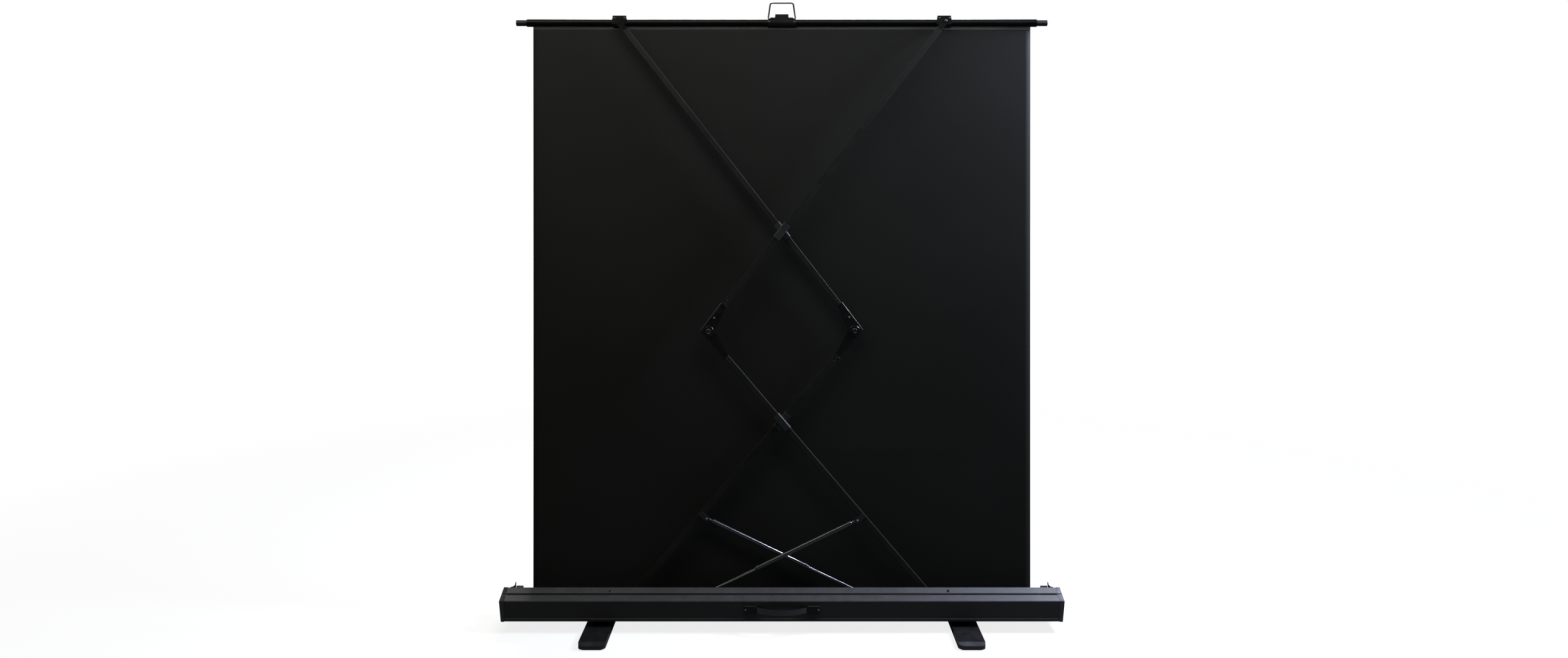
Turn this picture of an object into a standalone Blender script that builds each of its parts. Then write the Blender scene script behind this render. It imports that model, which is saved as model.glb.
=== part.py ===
"""Pull up projection screen, seen from behind: scissor arms, gas struts, case and swivel feet."""
import math

import bmesh
import bpy
from mathutils import Matrix, Vector

NAME = "pull_up_projection_screen"

# Clearances and shared small values, in metres
SEAT = 0.0003
RUN = 0.0005
CLOTH_GAP = 0.001
OVERRUN = 0.004
FILLET = 0.0012
ROUND_SIDES = 32
SMALL_SIDES = 20
ARC_STEPS = 10
MERGE_DISTANCE = 0.00001
SLICE_DISTANCE = 0.000001

# Case section: y runs from rear to front, z up from the floor
CASE_DEPTH = 0.180
CASE_FLOOR_Z = 0.043
CASE_SHOULDER_Z = 0.116
CASE_TOP_Z = 0.1455
FRONT_SHOULDER_Z = 0.092
FRONT_TOP_Z = 0.104
CASE_DRAFT = 0.002
CASE_WALL = 0.0025
REAR_LIP_Y = -0.035
FRONT_LIP_Y = 0.055
LIP_DROP = 0.006
GROOVE_WIDTH = 0.004
GROOVE_DEPTH = 0.0014
GROOVE_SHARE = 0.52
CASE_PAST_CLOTH = 0.0755
BEAD_Z = 0.0525
BEAD_WIDTH = 0.002
BEAD_DEPTH = 0.0008
PARTITION_Y = 0.0185
PARTITION_HEIGHT = 0.030

# End caps
CAP_LENGTH = 0.018
CAP_TOP_TAPER = 0.0035
CAP_BOTTOM_TAPER = 0.006
CAP_PROUD = 0.001
CAP_WALL = 0.0035

# Screen cloth, top bar and their plane
CLOTH_Y = 0.035
CLOTH_HALF_WIDTH = 0.919
CLOTH_THICK = 0.0012
BAR_RADIUS = 0.014
BAR_WALL = 0.0016
BAR_PAST_CLOTH = 0.0225
PLUG_RADIUS = 0.011
PLUG_LENGTH = 0.0395
PLUG_INSERT = 0.030
BAR_Z = 2.206

# Roller in the front of the case
ROLLER_RADIUS = 0.016
ROLLER_WALL = 0.0015
WRAP_THICK = 0.0018
ROLLER_Z = 0.078
ROLLER_PAST_CLOTH = 0.006
ROLLER_PLUG_LENGTH = 0.024
ROLLER_PLUG_FLANGE = 0.002
AXLE_RADIUS = 0.004
AXLE_LENGTH = 0.020
BRACKET_THICK = 0.0025
BRACKET_HALF_WIDTH = 0.014
BRACKET_FOOT = 0.026
SPRING_RADIUS = 0.011
SPRING_LENGTH = 0.420

# Linkage: pivots at rest, and where the fold ends
BASE_SHARE = 0.6174
BASE_Z = 0.0805
ELBOW_SHARE = 0.2905
ELBOW_HEIGHT_SHARE = 0.4667
TOP_SHARE = 0.6507
FOLDED_ELBOW_Z = 0.0925
FOLDED_BAR_Z = 0.1335
LAYER_A_Y = 0.003
LAYER_B_Y = -0.019
ARM_WIDTH = 0.022
ARM_THICK = 0.012
ARM_WALL = 0.0013
ARM_CORNER = 0.0022
LOWER_OFFSET = 0.012
UPPER_OFFSET = 0.0145

# Elbow and end fittings
ELBOW_BOSS = 0.0205
ELBOW_REACH = 0.112
ELBOW_TIP = 0.018
FITTING_INSERT = 0.030
TONGUE_THICK = 0.0042
CHEEK_THICK = 0.0020
FORK_WEB = 0.010
PIN_RADIUS = 0.005
PIN_HEAD_RADIUS = 0.009
PIN_HEAD_THICK = 0.0015
BASE_BOSS = 0.0105
BASE_REACH = 0.032
TOP_BOSS = 0.0115
TOP_REACH = 0.038
END_HOLE_RADIUS = 0.004

# Sliding sleeves at the crossings
SLEEVE_LENGTH = 0.068
SLEEVE_WALL_SIDE = 0.0022
SLEEVE_WALL_EDGE = 0.0027
SLEEVE_BOSS_RADIUS = 0.008
SLEEVE_BOSS_GAP = 0.0006

# Slide rails and shoes inside the case
RAIL_WIDTH = 0.010
RAIL_HEIGHT = 0.004
RAIL_OVERHANG = 0.030
SHOE_HALF_LENGTH = 0.022
SHOE_WIDTH = 0.018
SHOE_SLOT_DEPTH = 0.0135
SHOE_ABOVE_PIVOT = 0.010

# Gas struts
STRUT_ALONG = 0.422
STRUT_BELOW = 0.0235
STRUT_ANCHOR_SHARE = 0.444
STRUT_RADIUS = 0.008
STRUT_NECK_RADIUS = 0.0045
STRUT_START = 0.020
STRUT_CYLINDER_SHARE = 0.5476
STRUT_ROD_RADIUS = 0.0043
STRUT_ROD_SHARE = 0.4987
STRUT_BORE_START = 0.070
STRUT_GLAND_LENGTH = 0.008
STRUT_GLAND_STEP = 0.0012
STRUT_EYE_RADIUS = 0.008
STRUT_EYE_HALF = 0.0051
STRUT_PIN_RADIUS = 0.003
TAB_THICK = 0.0020
TAB_HALF_LENGTH = 0.010
TAB_RISE = 0.009
TAB_BOLT_RADIUS = 0.005
TAB_BOLT_THICK = 0.0015
ANCHOR_THICK = 0.0020
ANCHOR_HALF_LENGTH = 0.012
ANCHOR_FOOT_WIDTH = 0.009
ANCHOR_GAP = 0.0005

# Clamps on the bar
CLAMP_WALL = 0.003
CLAMP_HALF_WIDTH = 0.024
CLAMP_PLATE_THICK = 0.003
CLAMP_TOP_RISE = 0.025
CLAMP_TOP_HALF = 0.0245
CLAMP_FOOT_HALF = 0.029
CLAMP_FOOT_DROP = 0.006
CLAMP_LUG_RADIUS = 0.009

# Wire bail and its bracket
BAIL_BACK = 0.014
BAIL_UP = 0.014
BAIL_WIRE_RADIUS = 0.003
BAIL_FOOT_HALF = 0.0497
BAIL_TOP_HALF = 0.043
BAIL_HEIGHT = 0.058
BAIL_CORNER = 0.008
BARREL_RADIUS = 0.0052
BARREL_INNER = 0.024
BARREL_OUTER = 0.042
SADDLE_HALF_WIDTH = 0.052
SADDLE_THICK = 0.002
SADDLE_TAB_HALF = 0.0265
SADDLE_TAB_RISE = 0.030

# Catches in the end caps
CATCH_THICK = 0.012
CATCH_PAST_BAR = 0.002
CATCH_PEAK_Z = 0.1385
CATCH_LEAN = 0.0115
CATCH_PIVOT_Z = 0.091
CATCH_PIVOT_RADIUS = 0.003
CATCH_BACK = 0.0205
CATCH_LOW_Z = 0.084
CATCH_STEM = 0.006
LEDGE_REACH = 0.0365
LEDGE_Z = 0.1215
LEDGE_LOW_Z = 0.0795
LEDGE_BLOCK_Z = 0.108
LEDGE_WIDTH = 0.026
LEDGE_BLOCK_IN = 0.012
CATCH_TILT_SPACE = 0.001

# Carry handle on the rear wall
HANDLE_HALF = 0.1355
HANDLE_INNER = 0.0907
HANDLE_Z = 0.0875
HANDLE_BOW = 0.030
HANDLE_STRAP_WIDTH = 0.018
HANDLE_STRAP_THICK = 0.005
HANDLE_MOUNT_HEIGHT = 0.030
HANDLE_MOUNT_DEPTH = 0.009
HANDLE_STEPS = 16

# Feet
FOOT_SHARE = 0.6611
FOOT_HALF_LENGTH = 0.232
FOOT_HALF_WIDTH = 0.0475
FOOT_TOP_Z = 0.024
SOLE_THICK = 0.004
SOLE_INSET = 0.008
FOOT_END_DROP = 0.008
FOOT_END_RUN = 0.020
FOOT_CORNER = 0.020
FOOT_BOSS_RADIUS = 0.030
FOOT_BOLT_RADIUS = 0.006
FOOT_BOLT_HEAD = 0.011
FOOT_BOLT_HEAD_THICK = 0.004

# Worked out from the sizes above
CASE_HALF_LENGTH = CLOTH_HALF_WIDTH + CASE_PAST_CLOTH
CAP_HALF_LENGTH = CASE_HALF_LENGTH + CAP_LENGTH
BAR_HALF_LENGTH = CLOTH_HALF_WIDTH + BAR_PAST_CLOTH
ROLLER_HALF_LENGTH = CLOTH_HALF_WIDTH + ROLLER_PAST_CLOTH
BASE_X = CLOTH_HALF_WIDTH * BASE_SHARE
ELBOW_X = CLOTH_HALF_WIDTH * ELBOW_SHARE
TOP_X = CLOTH_HALF_WIDTH * TOP_SHARE
STRUT_ANCHOR_X = CLOTH_HALF_WIDTH * STRUT_ANCHOR_SHARE
CATCH_PEAK_X = BAR_HALF_LENGTH + PLUG_LENGTH + CATCH_PAST_BAR
CATCH_PIVOT_X = CATCH_PEAK_X + CATCH_LEAN
CATCH_OUTER_X = CATCH_PEAK_X + CATCH_BACK
LEDGE_INNER_X = CASE_HALF_LENGTH - LEDGE_REACH
FOOT_X = CASE_HALF_LENGTH * FOOT_SHARE
ELBOW_Z = BASE_Z + (BAR_Z - BASE_Z) * ELBOW_HEIGHT_SHARE
LOWER_LENGTH = math.hypot(BASE_X + ELBOW_X, ELBOW_Z - BASE_Z)
UPPER_LENGTH = math.hypot(TOP_X + ELBOW_X, BAR_Z - ELBOW_Z)
LOWER_RUN = math.sqrt(LOWER_LENGTH ** 2 - LOWER_OFFSET ** 2)
UPPER_RUN = math.sqrt(UPPER_LENGTH ** 2 - UPPER_OFFSET ** 2)
LOWER_TILT = (math.atan2(ELBOW_Z - BASE_Z, BASE_X + ELBOW_X)
              - math.asin(LOWER_OFFSET / LOWER_LENGTH))
UPPER_TILT = (math.atan2(BAR_Z - ELBOW_Z, TOP_X + ELBOW_X)
              - math.asin(UPPER_OFFSET / UPPER_LENGTH))
FOLDED_ELBOW_X = math.sqrt(UPPER_LENGTH ** 2 - (FOLDED_BAR_Z - FOLDED_ELBOW_Z) ** 2) - TOP_X
FOLDED_BASE_X = (math.sqrt(LOWER_LENGTH ** 2 - (FOLDED_ELBOW_Z - BASE_Z) ** 2)
                 - FOLDED_ELBOW_X)
CASE_INSIDE_Z = CASE_FLOOR_Z + CASE_WALL
ROLLER_Y = CLOTH_Y + ROLLER_RADIUS + WRAP_THICK + CLOTH_THICK
STRUT_ANCHOR_Z = BASE_Z - STRUT_BELOW
FORK_THICK = TONGUE_THICK + 2 * (CHEEK_THICK + SEAT)

COLOURS = {
    "case_black": ((0.028, 0.029, 0.031), 0.42, 0.35),
    "cap_plastic": ((0.022, 0.022, 0.024), 0.50, 0.0),
    "arm_black": ((0.030, 0.031, 0.033), 0.38, 0.5),
    "fitting_black": ((0.018, 0.018, 0.020), 0.45, 0.3),
    "bar_gloss": ((0.012, 0.013, 0.018), 0.18, 0.4),
    "plug_black": ((0.020, 0.020, 0.022), 0.55, 0.0),
    "wire_steel": ((0.020, 0.020, 0.022), 0.30, 0.8),
    "cloth": ((0.050, 0.050, 0.052), 0.90, 0.0),
    "bare_steel": ((0.55, 0.55, 0.56), 0.30, 1.0),
    "strut_black": ((0.015, 0.015, 0.017), 0.20, 0.6),
    "strut_rod": ((0.62, 0.62, 0.64), 0.15, 1.0),
    "slider_nylon": ((0.035, 0.035, 0.037), 0.55, 0.0),
    "roller_alloy": ((0.60, 0.61, 0.62), 0.35, 1.0),
    "foot_black": ((0.030, 0.030, 0.033), 0.40, 0.0),
    "sole_rubber": ((0.015, 0.015, 0.015), 0.85, 0.0),
    "handle_black": ((0.024, 0.024, 0.026), 0.45, 0.0),
}


def clear_scene():
    for old in list(bpy.data.objects):
        bpy.data.objects.remove(old)


def new_collection(name):
    made = bpy.data.collections.new(name)
    bpy.context.scene.collection.children.link(made)
    return made


clear_scene()
PARTS = new_collection(NAME)
TOOLS = new_collection("cutters")
GUIDES = new_collection("joint_axes")


def material(name):
    colour, roughness, metallic = COLOURS[name]
    made = bpy.data.materials.new(name)
    made.use_nodes = True
    shader = made.node_tree.nodes["Principled BSDF"]
    shader.inputs["Base Color"].default_value = (*colour, 1.0)
    shader.inputs["Roughness"].default_value = roughness
    shader.inputs["Metallic"].default_value = metallic
    return made


def axis_empty(name, location, tilt=0.0, mirrored=False):
    """An empty on a joint's axis, which may face the mirrored way."""
    made = bpy.data.objects.new(name, None)
    GUIDES.objects.link(made)
    made.location = location
    made.rotation_euler = (0.0, -tilt, math.pi if mirrored else 0.0)
    return made


def add_object(name, mesh):
    made = bpy.data.objects.new(name, mesh)
    PARTS.objects.link(made)
    return made


def settled(bm, name, smooth=False):
    """A bmesh made into an object, its faces pointing out."""
    bmesh.ops.recalc_face_normals(bm, faces=bm.faces)
    mesh = bpy.data.meshes.new(name)
    bm.to_mesh(mesh)
    bm.free()
    if smooth:
        mesh.shade_smooth()
        mesh.set_sharp_from_angle(angle=math.radians(30.0))
    return add_object(name, mesh)


def box(name, low, high, round_by=0.0):
    bm = bmesh.new()
    bmesh.ops.create_cube(bm, size=1.0)
    size = [h - l for l, h in zip(low, high)]
    centre = [(h + l) / 2 for l, h in zip(low, high)]
    bmesh.ops.scale(bm, vec=size, verts=bm.verts)
    bmesh.ops.translate(bm, vec=centre, verts=bm.verts)
    if round_by:
        bmesh.ops.bevel(bm, geom=bm.edges[:], offset=round_by, segments=2,
                        affect="EDGES", profile=0.5)
    return settled(bm, name)


ALONG = {
    "x": Matrix.Rotation(math.radians(90.0), 4, "Y"),
    "y": Matrix.Rotation(math.radians(-90.0), 4, "X"),
    "z": Matrix.Identity(4),
}


def rod(name, axis, start, end, radius, sides=SMALL_SIDES, at=(0.0, 0.0, 0.0)):
    """A round bar along an axis from start to end, through the point at."""
    bm = bmesh.new()
    bmesh.ops.create_cone(bm, cap_ends=True, cap_tris=False, segments=sides,
                          radius1=radius, radius2=radius, depth=end - start)
    shift = Vector(at)
    shift["xyz".index(axis)] += (start + end) / 2
    bmesh.ops.transform(bm, matrix=Matrix.Translation(shift) @ ALONG[axis], verts=bm.verts)
    return settled(bm, name, smooth=True)


def turned(name, axis, profile, at=(0.0, 0.0, 0.0), closed=False, sides=SMALL_SIDES):
    """A profile of (along, radius) points, top first, swept round an axis with Screw."""
    bm = bmesh.new()
    made = [bm.verts.new((radius, 0.0, along)) for along, radius in profile]
    pairs = list(zip(made, made[1:])) + ([(made[-1], made[0])] if closed else [])
    for first, second in pairs:
        bm.edges.new((first, second))
    mesh = bpy.data.meshes.new(name)
    bm.to_mesh(mesh)
    bm.free()
    raw = add_object(name + "_profile", mesh)
    screw = raw.modifiers.new("turn", "SCREW")
    screw.axis = "Z"
    screw.steps = sides
    screw.render_steps = sides
    screw.use_merge_vertices = True
    screw.merge_threshold = 0.00001
    return baked(raw, name, Matrix.Translation(at) @ ALONG[axis])


def baked(raw, name, matrix):
    """The evaluated shape of a curve or profile as a welded mesh; the original goes."""
    graph = bpy.context.evaluated_depsgraph_get()
    mesh = bpy.data.meshes.new_from_object(raw.evaluated_get(graph))
    bm = bmesh.new()
    bm.from_mesh(mesh)
    bmesh.ops.remove_doubles(bm, verts=bm.verts, dist=MERGE_DISTANCE)
    bmesh.ops.transform(bm, matrix=matrix @ raw.matrix_world, verts=bm.verts)
    bpy.data.objects.remove(raw)
    bpy.data.meshes.remove(mesh)
    return settled(bm, name, smooth=True)


PLANES = {
    "xy": Matrix.Identity(4),
    "xz": Matrix.Rotation(math.radians(90.0), 4, "X"),
    "yz": Matrix(((0, 0, 1, 0), (1, 0, 0, 0), (0, 1, 0, 0), (0, 0, 0, 1))),
}
ACROSS = {"xy": "z", "xz": "y", "yz": "x"}


def plate(name, plane, loops, start, end):
    """Flat outlines in a plane, the first one outside, given thickness from start to end."""
    curve = bpy.data.curves.new(name, "CURVE")
    curve.dimensions = "2D"
    curve.fill_mode = "BOTH"
    curve.extrude = (end - start) / 2
    for points in loops:
        spline = curve.splines.new("POLY")
        spline.points.add(len(points) - 1)
        for point, place in zip(spline.points, points):
            point.co = (place[0], place[1], 0.0, 1.0)
        spline.use_cyclic_u = True
    raw = bpy.data.objects.new(name + "_outline", curve)
    PARTS.objects.link(raw)
    shift = Vector((0.0, 0.0, 0.0))
    shift["xyz".index(ACROSS[plane])] = (start + end) / 2
    return baked(raw, name, Matrix.Translation(shift) @ PLANES[plane])


def wire(name, points, radius, resolution=2):
    """A round wire or tube along points, with filled ends."""
    curve = bpy.data.curves.new(name, "CURVE")
    curve.dimensions = "3D"
    curve.bevel_depth = radius
    curve.bevel_resolution = resolution
    curve.use_fill_caps = True
    spline = curve.splines.new("POLY")
    spline.points.add(len(points) - 1)
    for point, place in zip(spline.points, points):
        point.co = (*place, 1.0)
    raw = bpy.data.objects.new(name + "_line", curve)
    PARTS.objects.link(raw)
    return baked(raw, name, Matrix.Identity(4))


def combine(target, tool, operation):
    """Cuts or joins with a kept tool, which is drawn as wire and left out of the model."""
    PARTS.objects.unlink(tool)
    TOOLS.objects.link(tool)
    tool.hide_render = True
    tool.display_type = "WIRE"
    tool.parent = target
    step = target.modifiers.new(tool.name, "BOOLEAN")
    step.operation = operation
    step.solver = "EXACT"
    step.object = tool
    return target


def cut(target, tool):
    return combine(target, tool, "DIFFERENCE")


def join(target, tool):
    return combine(target, tool, "UNION")


def made_of(part, finish, parent=None):
    """Gives a part its material and puts it under a joint's empty."""
    part.data.materials.clear()
    part.data.materials.append(MATERIALS[finish])
    if parent is not None:
        part.parent = parent
    return part


def arc(centre, radius, first, last, steps=ARC_STEPS):
    """Points on a circle from one angle to another, in degrees."""
    turns = [math.radians(first + (last - first) * step / steps) for step in range(steps + 1)]
    return [(centre[0] + radius * math.cos(turn), centre[1] + radius * math.sin(turn))
            for turn in turns]


def rounded(width, height, corner, steps=3, centre=(0.0, 0.0)):
    """A rectangle with round corners, round its centre."""
    reach_x, reach_y = width / 2 - corner, height / 2 - corner
    points = []
    for index, (sign_x, sign_y) in enumerate([(1, 1), (-1, 1), (-1, -1), (1, -1)]):
        middle = (centre[0] + sign_x * reach_x, centre[1] + sign_y * reach_y)
        points += arc(middle, corner, 90.0 * index, 90.0 * (index + 1), steps)
    return points


def tangent_angle(corner, centre, radius, side):
    """The angle on a circle where a straight line from a corner outside it touches."""
    away = Vector(corner) - Vector(centre)
    spread = math.acos(radius / away.length)
    return math.degrees(math.atan2(away.y, away.x) + side * spread)


def eye_outline(foot_low, foot_high, centre, radius, facing):
    """A strip from two foot corners, drawn tangent round an eye; facing 1 looks to +x."""
    low = tangent_angle(foot_low, centre, radius, facing)
    high = tangent_angle(foot_high, centre, radius, -facing)
    while (high - low) * facing < 0:
        high += 360.0 * facing
    return [foot_low] + arc(centre, radius, low, high, 2 * ARC_STEPS) + [foot_high]


MATERIALS = {name: material(name) for name in COLOURS}


def case_outer(proud=0.0):
    """The case's outer section: the rear side with its groove, and the lower front side."""
    half = CASE_DEPTH / 2 + proud
    low, top = CASE_FLOOR_Z - proud, CASE_TOP_Z + proud
    shoulder = CASE_SHOULDER_Z
    wall = CASE_DRAFT * (shoulder - BEAD_Z) / (shoulder - CASE_FLOOR_Z) - half
    rear = [(-half + CASE_DRAFT + FILLET, low), (-half + CASE_DRAFT, low + FILLET),
            (wall, BEAD_Z - BEAD_WIDTH), (wall - BEAD_DEPTH, BEAD_Z - BEAD_WIDTH / 2),
            (wall - BEAD_DEPTH, BEAD_Z), (wall, BEAD_Z + BEAD_WIDTH / 2),
            (-half, shoulder - FILLET), (-half + FILLET, shoulder + FILLET)]
    start, end = Vector((-half, shoulder)), Vector((REAR_LIP_Y, top))
    along = (end - start).normalized()
    inward = Vector((along.y, -along.x))
    middle = start.lerp(end, GROOVE_SHARE)
    groove = [middle - along * GROOVE_WIDTH / 2,
              middle - along * GROOVE_WIDTH / 2 + inward * (GROOVE_DEPTH + proud),
              middle + along * GROOVE_WIDTH / 2 + inward * (GROOVE_DEPTH + proud),
              middle + along * GROOVE_WIDTH / 2]
    front = [(FRONT_LIP_Y, FRONT_TOP_Z + proud), (half - FILLET, FRONT_SHOULDER_Z + FILLET),
             (half, FRONT_SHOULDER_Z - FILLET), (half - CASE_DRAFT, low + FILLET),
             (half - CASE_DRAFT - FILLET, low)]
    return rear + [tuple(point) for point in groove] + [tuple(end)], front


def case_inner():
    """The inside of the trough from front lip to rear lip, with the cloth side's partition."""
    half = CASE_DEPTH / 2 - CASE_WALL
    top, shoulder = CASE_TOP_Z - CASE_WALL, CASE_SHOULDER_Z - CASE_WALL / 2
    front_top, front_drop = FRONT_TOP_Z - CASE_WALL, FRONT_TOP_Z - LIP_DROP
    low = CASE_INSIDE_Z
    partition_top = low + PARTITION_HEIGHT
    return [
        (FRONT_LIP_Y, front_drop), (FRONT_LIP_Y + CASE_WALL, front_drop),
        (FRONT_LIP_Y + CASE_WALL, front_top), (half, FRONT_SHOULDER_Z - CASE_WALL / 2),
        (half - CASE_DRAFT, low),
        (PARTITION_Y + CASE_WALL, low), (PARTITION_Y + CASE_WALL, partition_top),
        (PARTITION_Y, partition_top), (PARTITION_Y, low),
        (-half + CASE_DRAFT, low), (-half, shoulder), (REAR_LIP_Y - CASE_WALL, top),
        (REAR_LIP_Y - CASE_WALL, CASE_TOP_Z - LIP_DROP), (REAR_LIP_Y, CASE_TOP_Z - LIP_DROP),
    ]


def make_case():
    rear, front = case_outer()
    outline = rear + case_inner()[::-1] + front
    body = plate("case_body", "yz", [outline], -CASE_HALF_LENGTH, CASE_HALF_LENGTH)
    for side in (-1, 1):
        bore = rod(f"foot_bore_{side}", "z", CASE_FLOOR_Z - OVERRUN, CASE_INSIDE_Z + OVERRUN,
                   FOOT_BOLT_RADIUS + SEAT, at=(side * FOOT_X, 0.0, 0.0))
        cut(body, bore)
    made_of(body, "case_black")


def trim_end(part, low, high, slope):
    """Slices the outer end of a cap along a sloping plane through two (x, z) points."""
    bm = bmesh.new()
    bm.from_mesh(part.data)
    run = Vector((high[0] - low[0], 0.0, high[1] - low[1]))
    normal = Vector((run.z, 0.0, -run.x)) * slope
    cut_faces = bmesh.ops.bisect_plane(bm, geom=bm.verts[:] + bm.edges[:] + bm.faces[:],
                                       plane_co=(low[0], 0.0, low[1]), plane_no=normal,
                                       clear_outer=True, dist=SLICE_DISTANCE)
    edges = [item for item in cut_faces["geom_cut"] if isinstance(item, bmesh.types.BMEdge)]
    bmesh.ops.edgenet_fill(bm, edges=edges)
    bmesh.ops.recalc_face_normals(bm, faces=bm.faces)
    bm.to_mesh(part.data)
    bm.free()


def make_end_cap(side, word):
    rear, front = case_outer(CAP_PROUD)
    dip = [(REAR_LIP_Y, FRONT_TOP_Z + CAP_PROUD)]
    inner = CASE_HALF_LENGTH + SEAT
    spans = sorted((side * inner, side * CAP_HALF_LENGTH))
    cap = plate(f"end_cap_{word}", "yz", [rear + dip + front], *spans)
    wide = side * CAP_HALF_LENGTH
    shoulder = (wide, CASE_SHOULDER_Z)
    trim_end(cap, shoulder, (wide - side * CAP_TOP_TAPER, CASE_TOP_Z), side)
    trim_end(cap, (wide - side * CAP_BOTTOM_TAPER, CASE_FLOOR_Z), shoulder, side)
    pocket_x = sorted((side * (inner - OVERRUN), side * (CAP_HALF_LENGTH - 2 * CAP_WALL)))
    half = CASE_DEPTH / 2 - 2 * CAP_WALL
    pocket = box(f"cap_pocket_{word}", (pocket_x[0], -half, CASE_INSIDE_Z + CAP_WALL),
                 (pocket_x[1], half, FRONT_SHOULDER_Z - 4 * CAP_WALL))
    cut(cap, pocket)
    half = LEDGE_WIDTH / 2
    block_x = sorted((side * (CATCH_PEAK_X - LEDGE_BLOCK_IN), side * (inner + CAP_WALL)))
    join(cap, box(f"ledge_block_{word}", (block_x[0], CLOTH_Y - half, LEDGE_LOW_Z),
                  (block_x[1], CLOTH_Y + half, LEDGE_BLOCK_Z)))
    ledge_x = sorted((side * LEDGE_INNER_X, side * (CATCH_PEAK_X + RUN)))
    half -= RUN
    join(cap, box(f"ledge_{word}", (ledge_x[0], CLOTH_Y - half, LEDGE_LOW_Z + RUN),
                  (ledge_x[1], CLOTH_Y + half, LEDGE_Z)))
    slot_x = sorted((side * (CATCH_PEAK_X - RUN - CATCH_PIVOT_RADIUS),
                     side * (CATCH_OUTER_X + CATCH_TILT_SPACE)))
    slot = box(f"catch_slot_{word}", (slot_x[0], CLOTH_Y - CATCH_THICK / 2 - RUN,
                                      CATCH_LOW_Z - 2 * RUN),
               (slot_x[1], CLOTH_Y + CATCH_THICK / 2 + RUN, CASE_TOP_Z + OVERRUN))
    cut(cap, slot)
    pin = rod(f"catch_axle_{word}", "y", CLOTH_Y - CATCH_THICK / 2 - 2 * CAP_WALL,
              CLOTH_Y + CATCH_THICK / 2 + 2 * CAP_WALL, CATCH_PIVOT_RADIUS - SEAT,
              at=(side * CATCH_PIVOT_X, 0.0, CATCH_PIVOT_Z))
    join(cap, pin)
    made_of(cap, "cap_plastic")


def make_catch(side, word):
    """A rocking catch: its fin stands just past the end of the lowered bar."""
    near, far = CATCH_PIVOT_X - CATCH_STEM, CATCH_PIVOT_X + CATCH_STEM
    sweep = CATCH_OUTER_X - CATCH_PEAK_X - FILLET
    points = [(near, CATCH_PIVOT_Z), (near, CATCH_LOW_Z), (far, CATCH_LOW_Z),
              (far, CATCH_PIVOT_Z + CATCH_STEM)]
    points += arc((CATCH_OUTER_X, CATCH_PEAK_Z), sweep, 270.0, 180.0, 5)
    points += [(CATCH_PEAK_X, CATCH_PEAK_Z), (CATCH_PEAK_X + FILLET, LEDGE_Z + RUN)]
    frame = axis_empty(f"catch_axis_{word}", (side * CATCH_PIVOT_X, CLOTH_Y, CATCH_PIVOT_Z))
    local = [(side * (x - CATCH_PIVOT_X), z - CATCH_PIVOT_Z) for x, z in points]
    hole = arc((0.0, 0.0), CATCH_PIVOT_RADIUS, 0.0, 360.0, SMALL_SIDES)[:-1]
    catch = plate(f"catch_{word}", "xz", [local, hole], -CATCH_THICK / 2, CATCH_THICK / 2)
    made_of(catch, "fitting_black", frame)


def make_roller():
    frame = axis_empty("roller_axis", (0.0, ROLLER_Y, ROLLER_Z))
    half, inner = ROLLER_HALF_LENGTH, ROLLER_RADIUS - ROLLER_WALL
    tube = turned("roller_tube", "x", [(half, inner), (half, ROLLER_RADIUS),
                                       (-half, ROLLER_RADIUS), (-half, inner)], closed=True)
    made_of(tube, "roller_alloy", frame)
    wrap_in, wrap_out = ROLLER_RADIUS + SEAT, ROLLER_RADIUS + WRAP_THICK
    wide = CLOTH_HALF_WIDTH
    wraps = turned("cloth_wraps", "x", [(wide, wrap_in), (wide, wrap_out), (-wide, wrap_out),
                                        (-wide, wrap_in)], closed=True, sides=ROUND_SIDES)
    made_of(wraps, "cloth", frame)
    for side, word in ((-1, "left"), (1, "right")):
        start = half + SEAT
        flange, body = ROLLER_RADIUS - SEAT, inner - SEAT
        bore = AXLE_RADIUS + SEAT
        end, tail = start + ROLLER_PLUG_FLANGE, half - ROLLER_PLUG_LENGTH
        profile = [(side * end, bore), (side * end, flange), (side * start, flange),
                   (side * start, body), (side * tail, body), (side * tail, bore)]
        made_of(turned(f"roller_plug_{word}", "x", profile, closed=True), "plug_black", frame)
    far = half - ROLLER_PLUG_LENGTH - RUN
    near = far - SPRING_LENGTH
    bore = AXLE_RADIUS + SEAT
    profile = [(far, bore), (far, inner - SEAT), (far - ROLLER_PLUG_LENGTH, inner - SEAT),
               (far - ROLLER_PLUG_LENGTH, SPRING_RADIUS), (near, SPRING_RADIUS), (near, bore)]
    made_of(turned("spring_cartridge", "x", profile, closed=True), "bare_steel", frame)


def make_roller_bracket(side, word):
    """An upright plate on a foot, with the stub that the roller turns on."""
    face = ROLLER_HALF_LENGTH + ROLLER_PLUG_FLANGE + SEAT + RUN
    inner, outer = side * face, side * (face + BRACKET_THICK)
    low = CASE_INSIDE_Z + SEAT
    upright = box(f"roller_bracket_{word}",
                  (min(inner, outer), ROLLER_Y - BRACKET_HALF_WIDTH, low),
                  (max(inner, outer), ROLLER_Y + BRACKET_HALF_WIDTH,
                   ROLLER_Z + BRACKET_HALF_WIDTH))
    foot_x = sorted((inner, side * (face + BRACKET_FOOT)))
    foot = box(f"bracket_foot_{word}", (foot_x[0], ROLLER_Y - BRACKET_HALF_WIDTH, low),
               (foot_x[1], ROLLER_Y + BRACKET_HALF_WIDTH, low + BRACKET_THICK))
    join(upright, foot)
    stub_x = sorted((side * (face - AXLE_LENGTH), outer - side * BRACKET_THICK / 2))
    stub = rod(f"axle_stub_{word}", "x", *stub_x, AXLE_RADIUS,
               at=(0.0, ROLLER_Y, ROLLER_Z))
    join(upright, stub)
    made_of(upright, "bare_steel")


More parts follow.
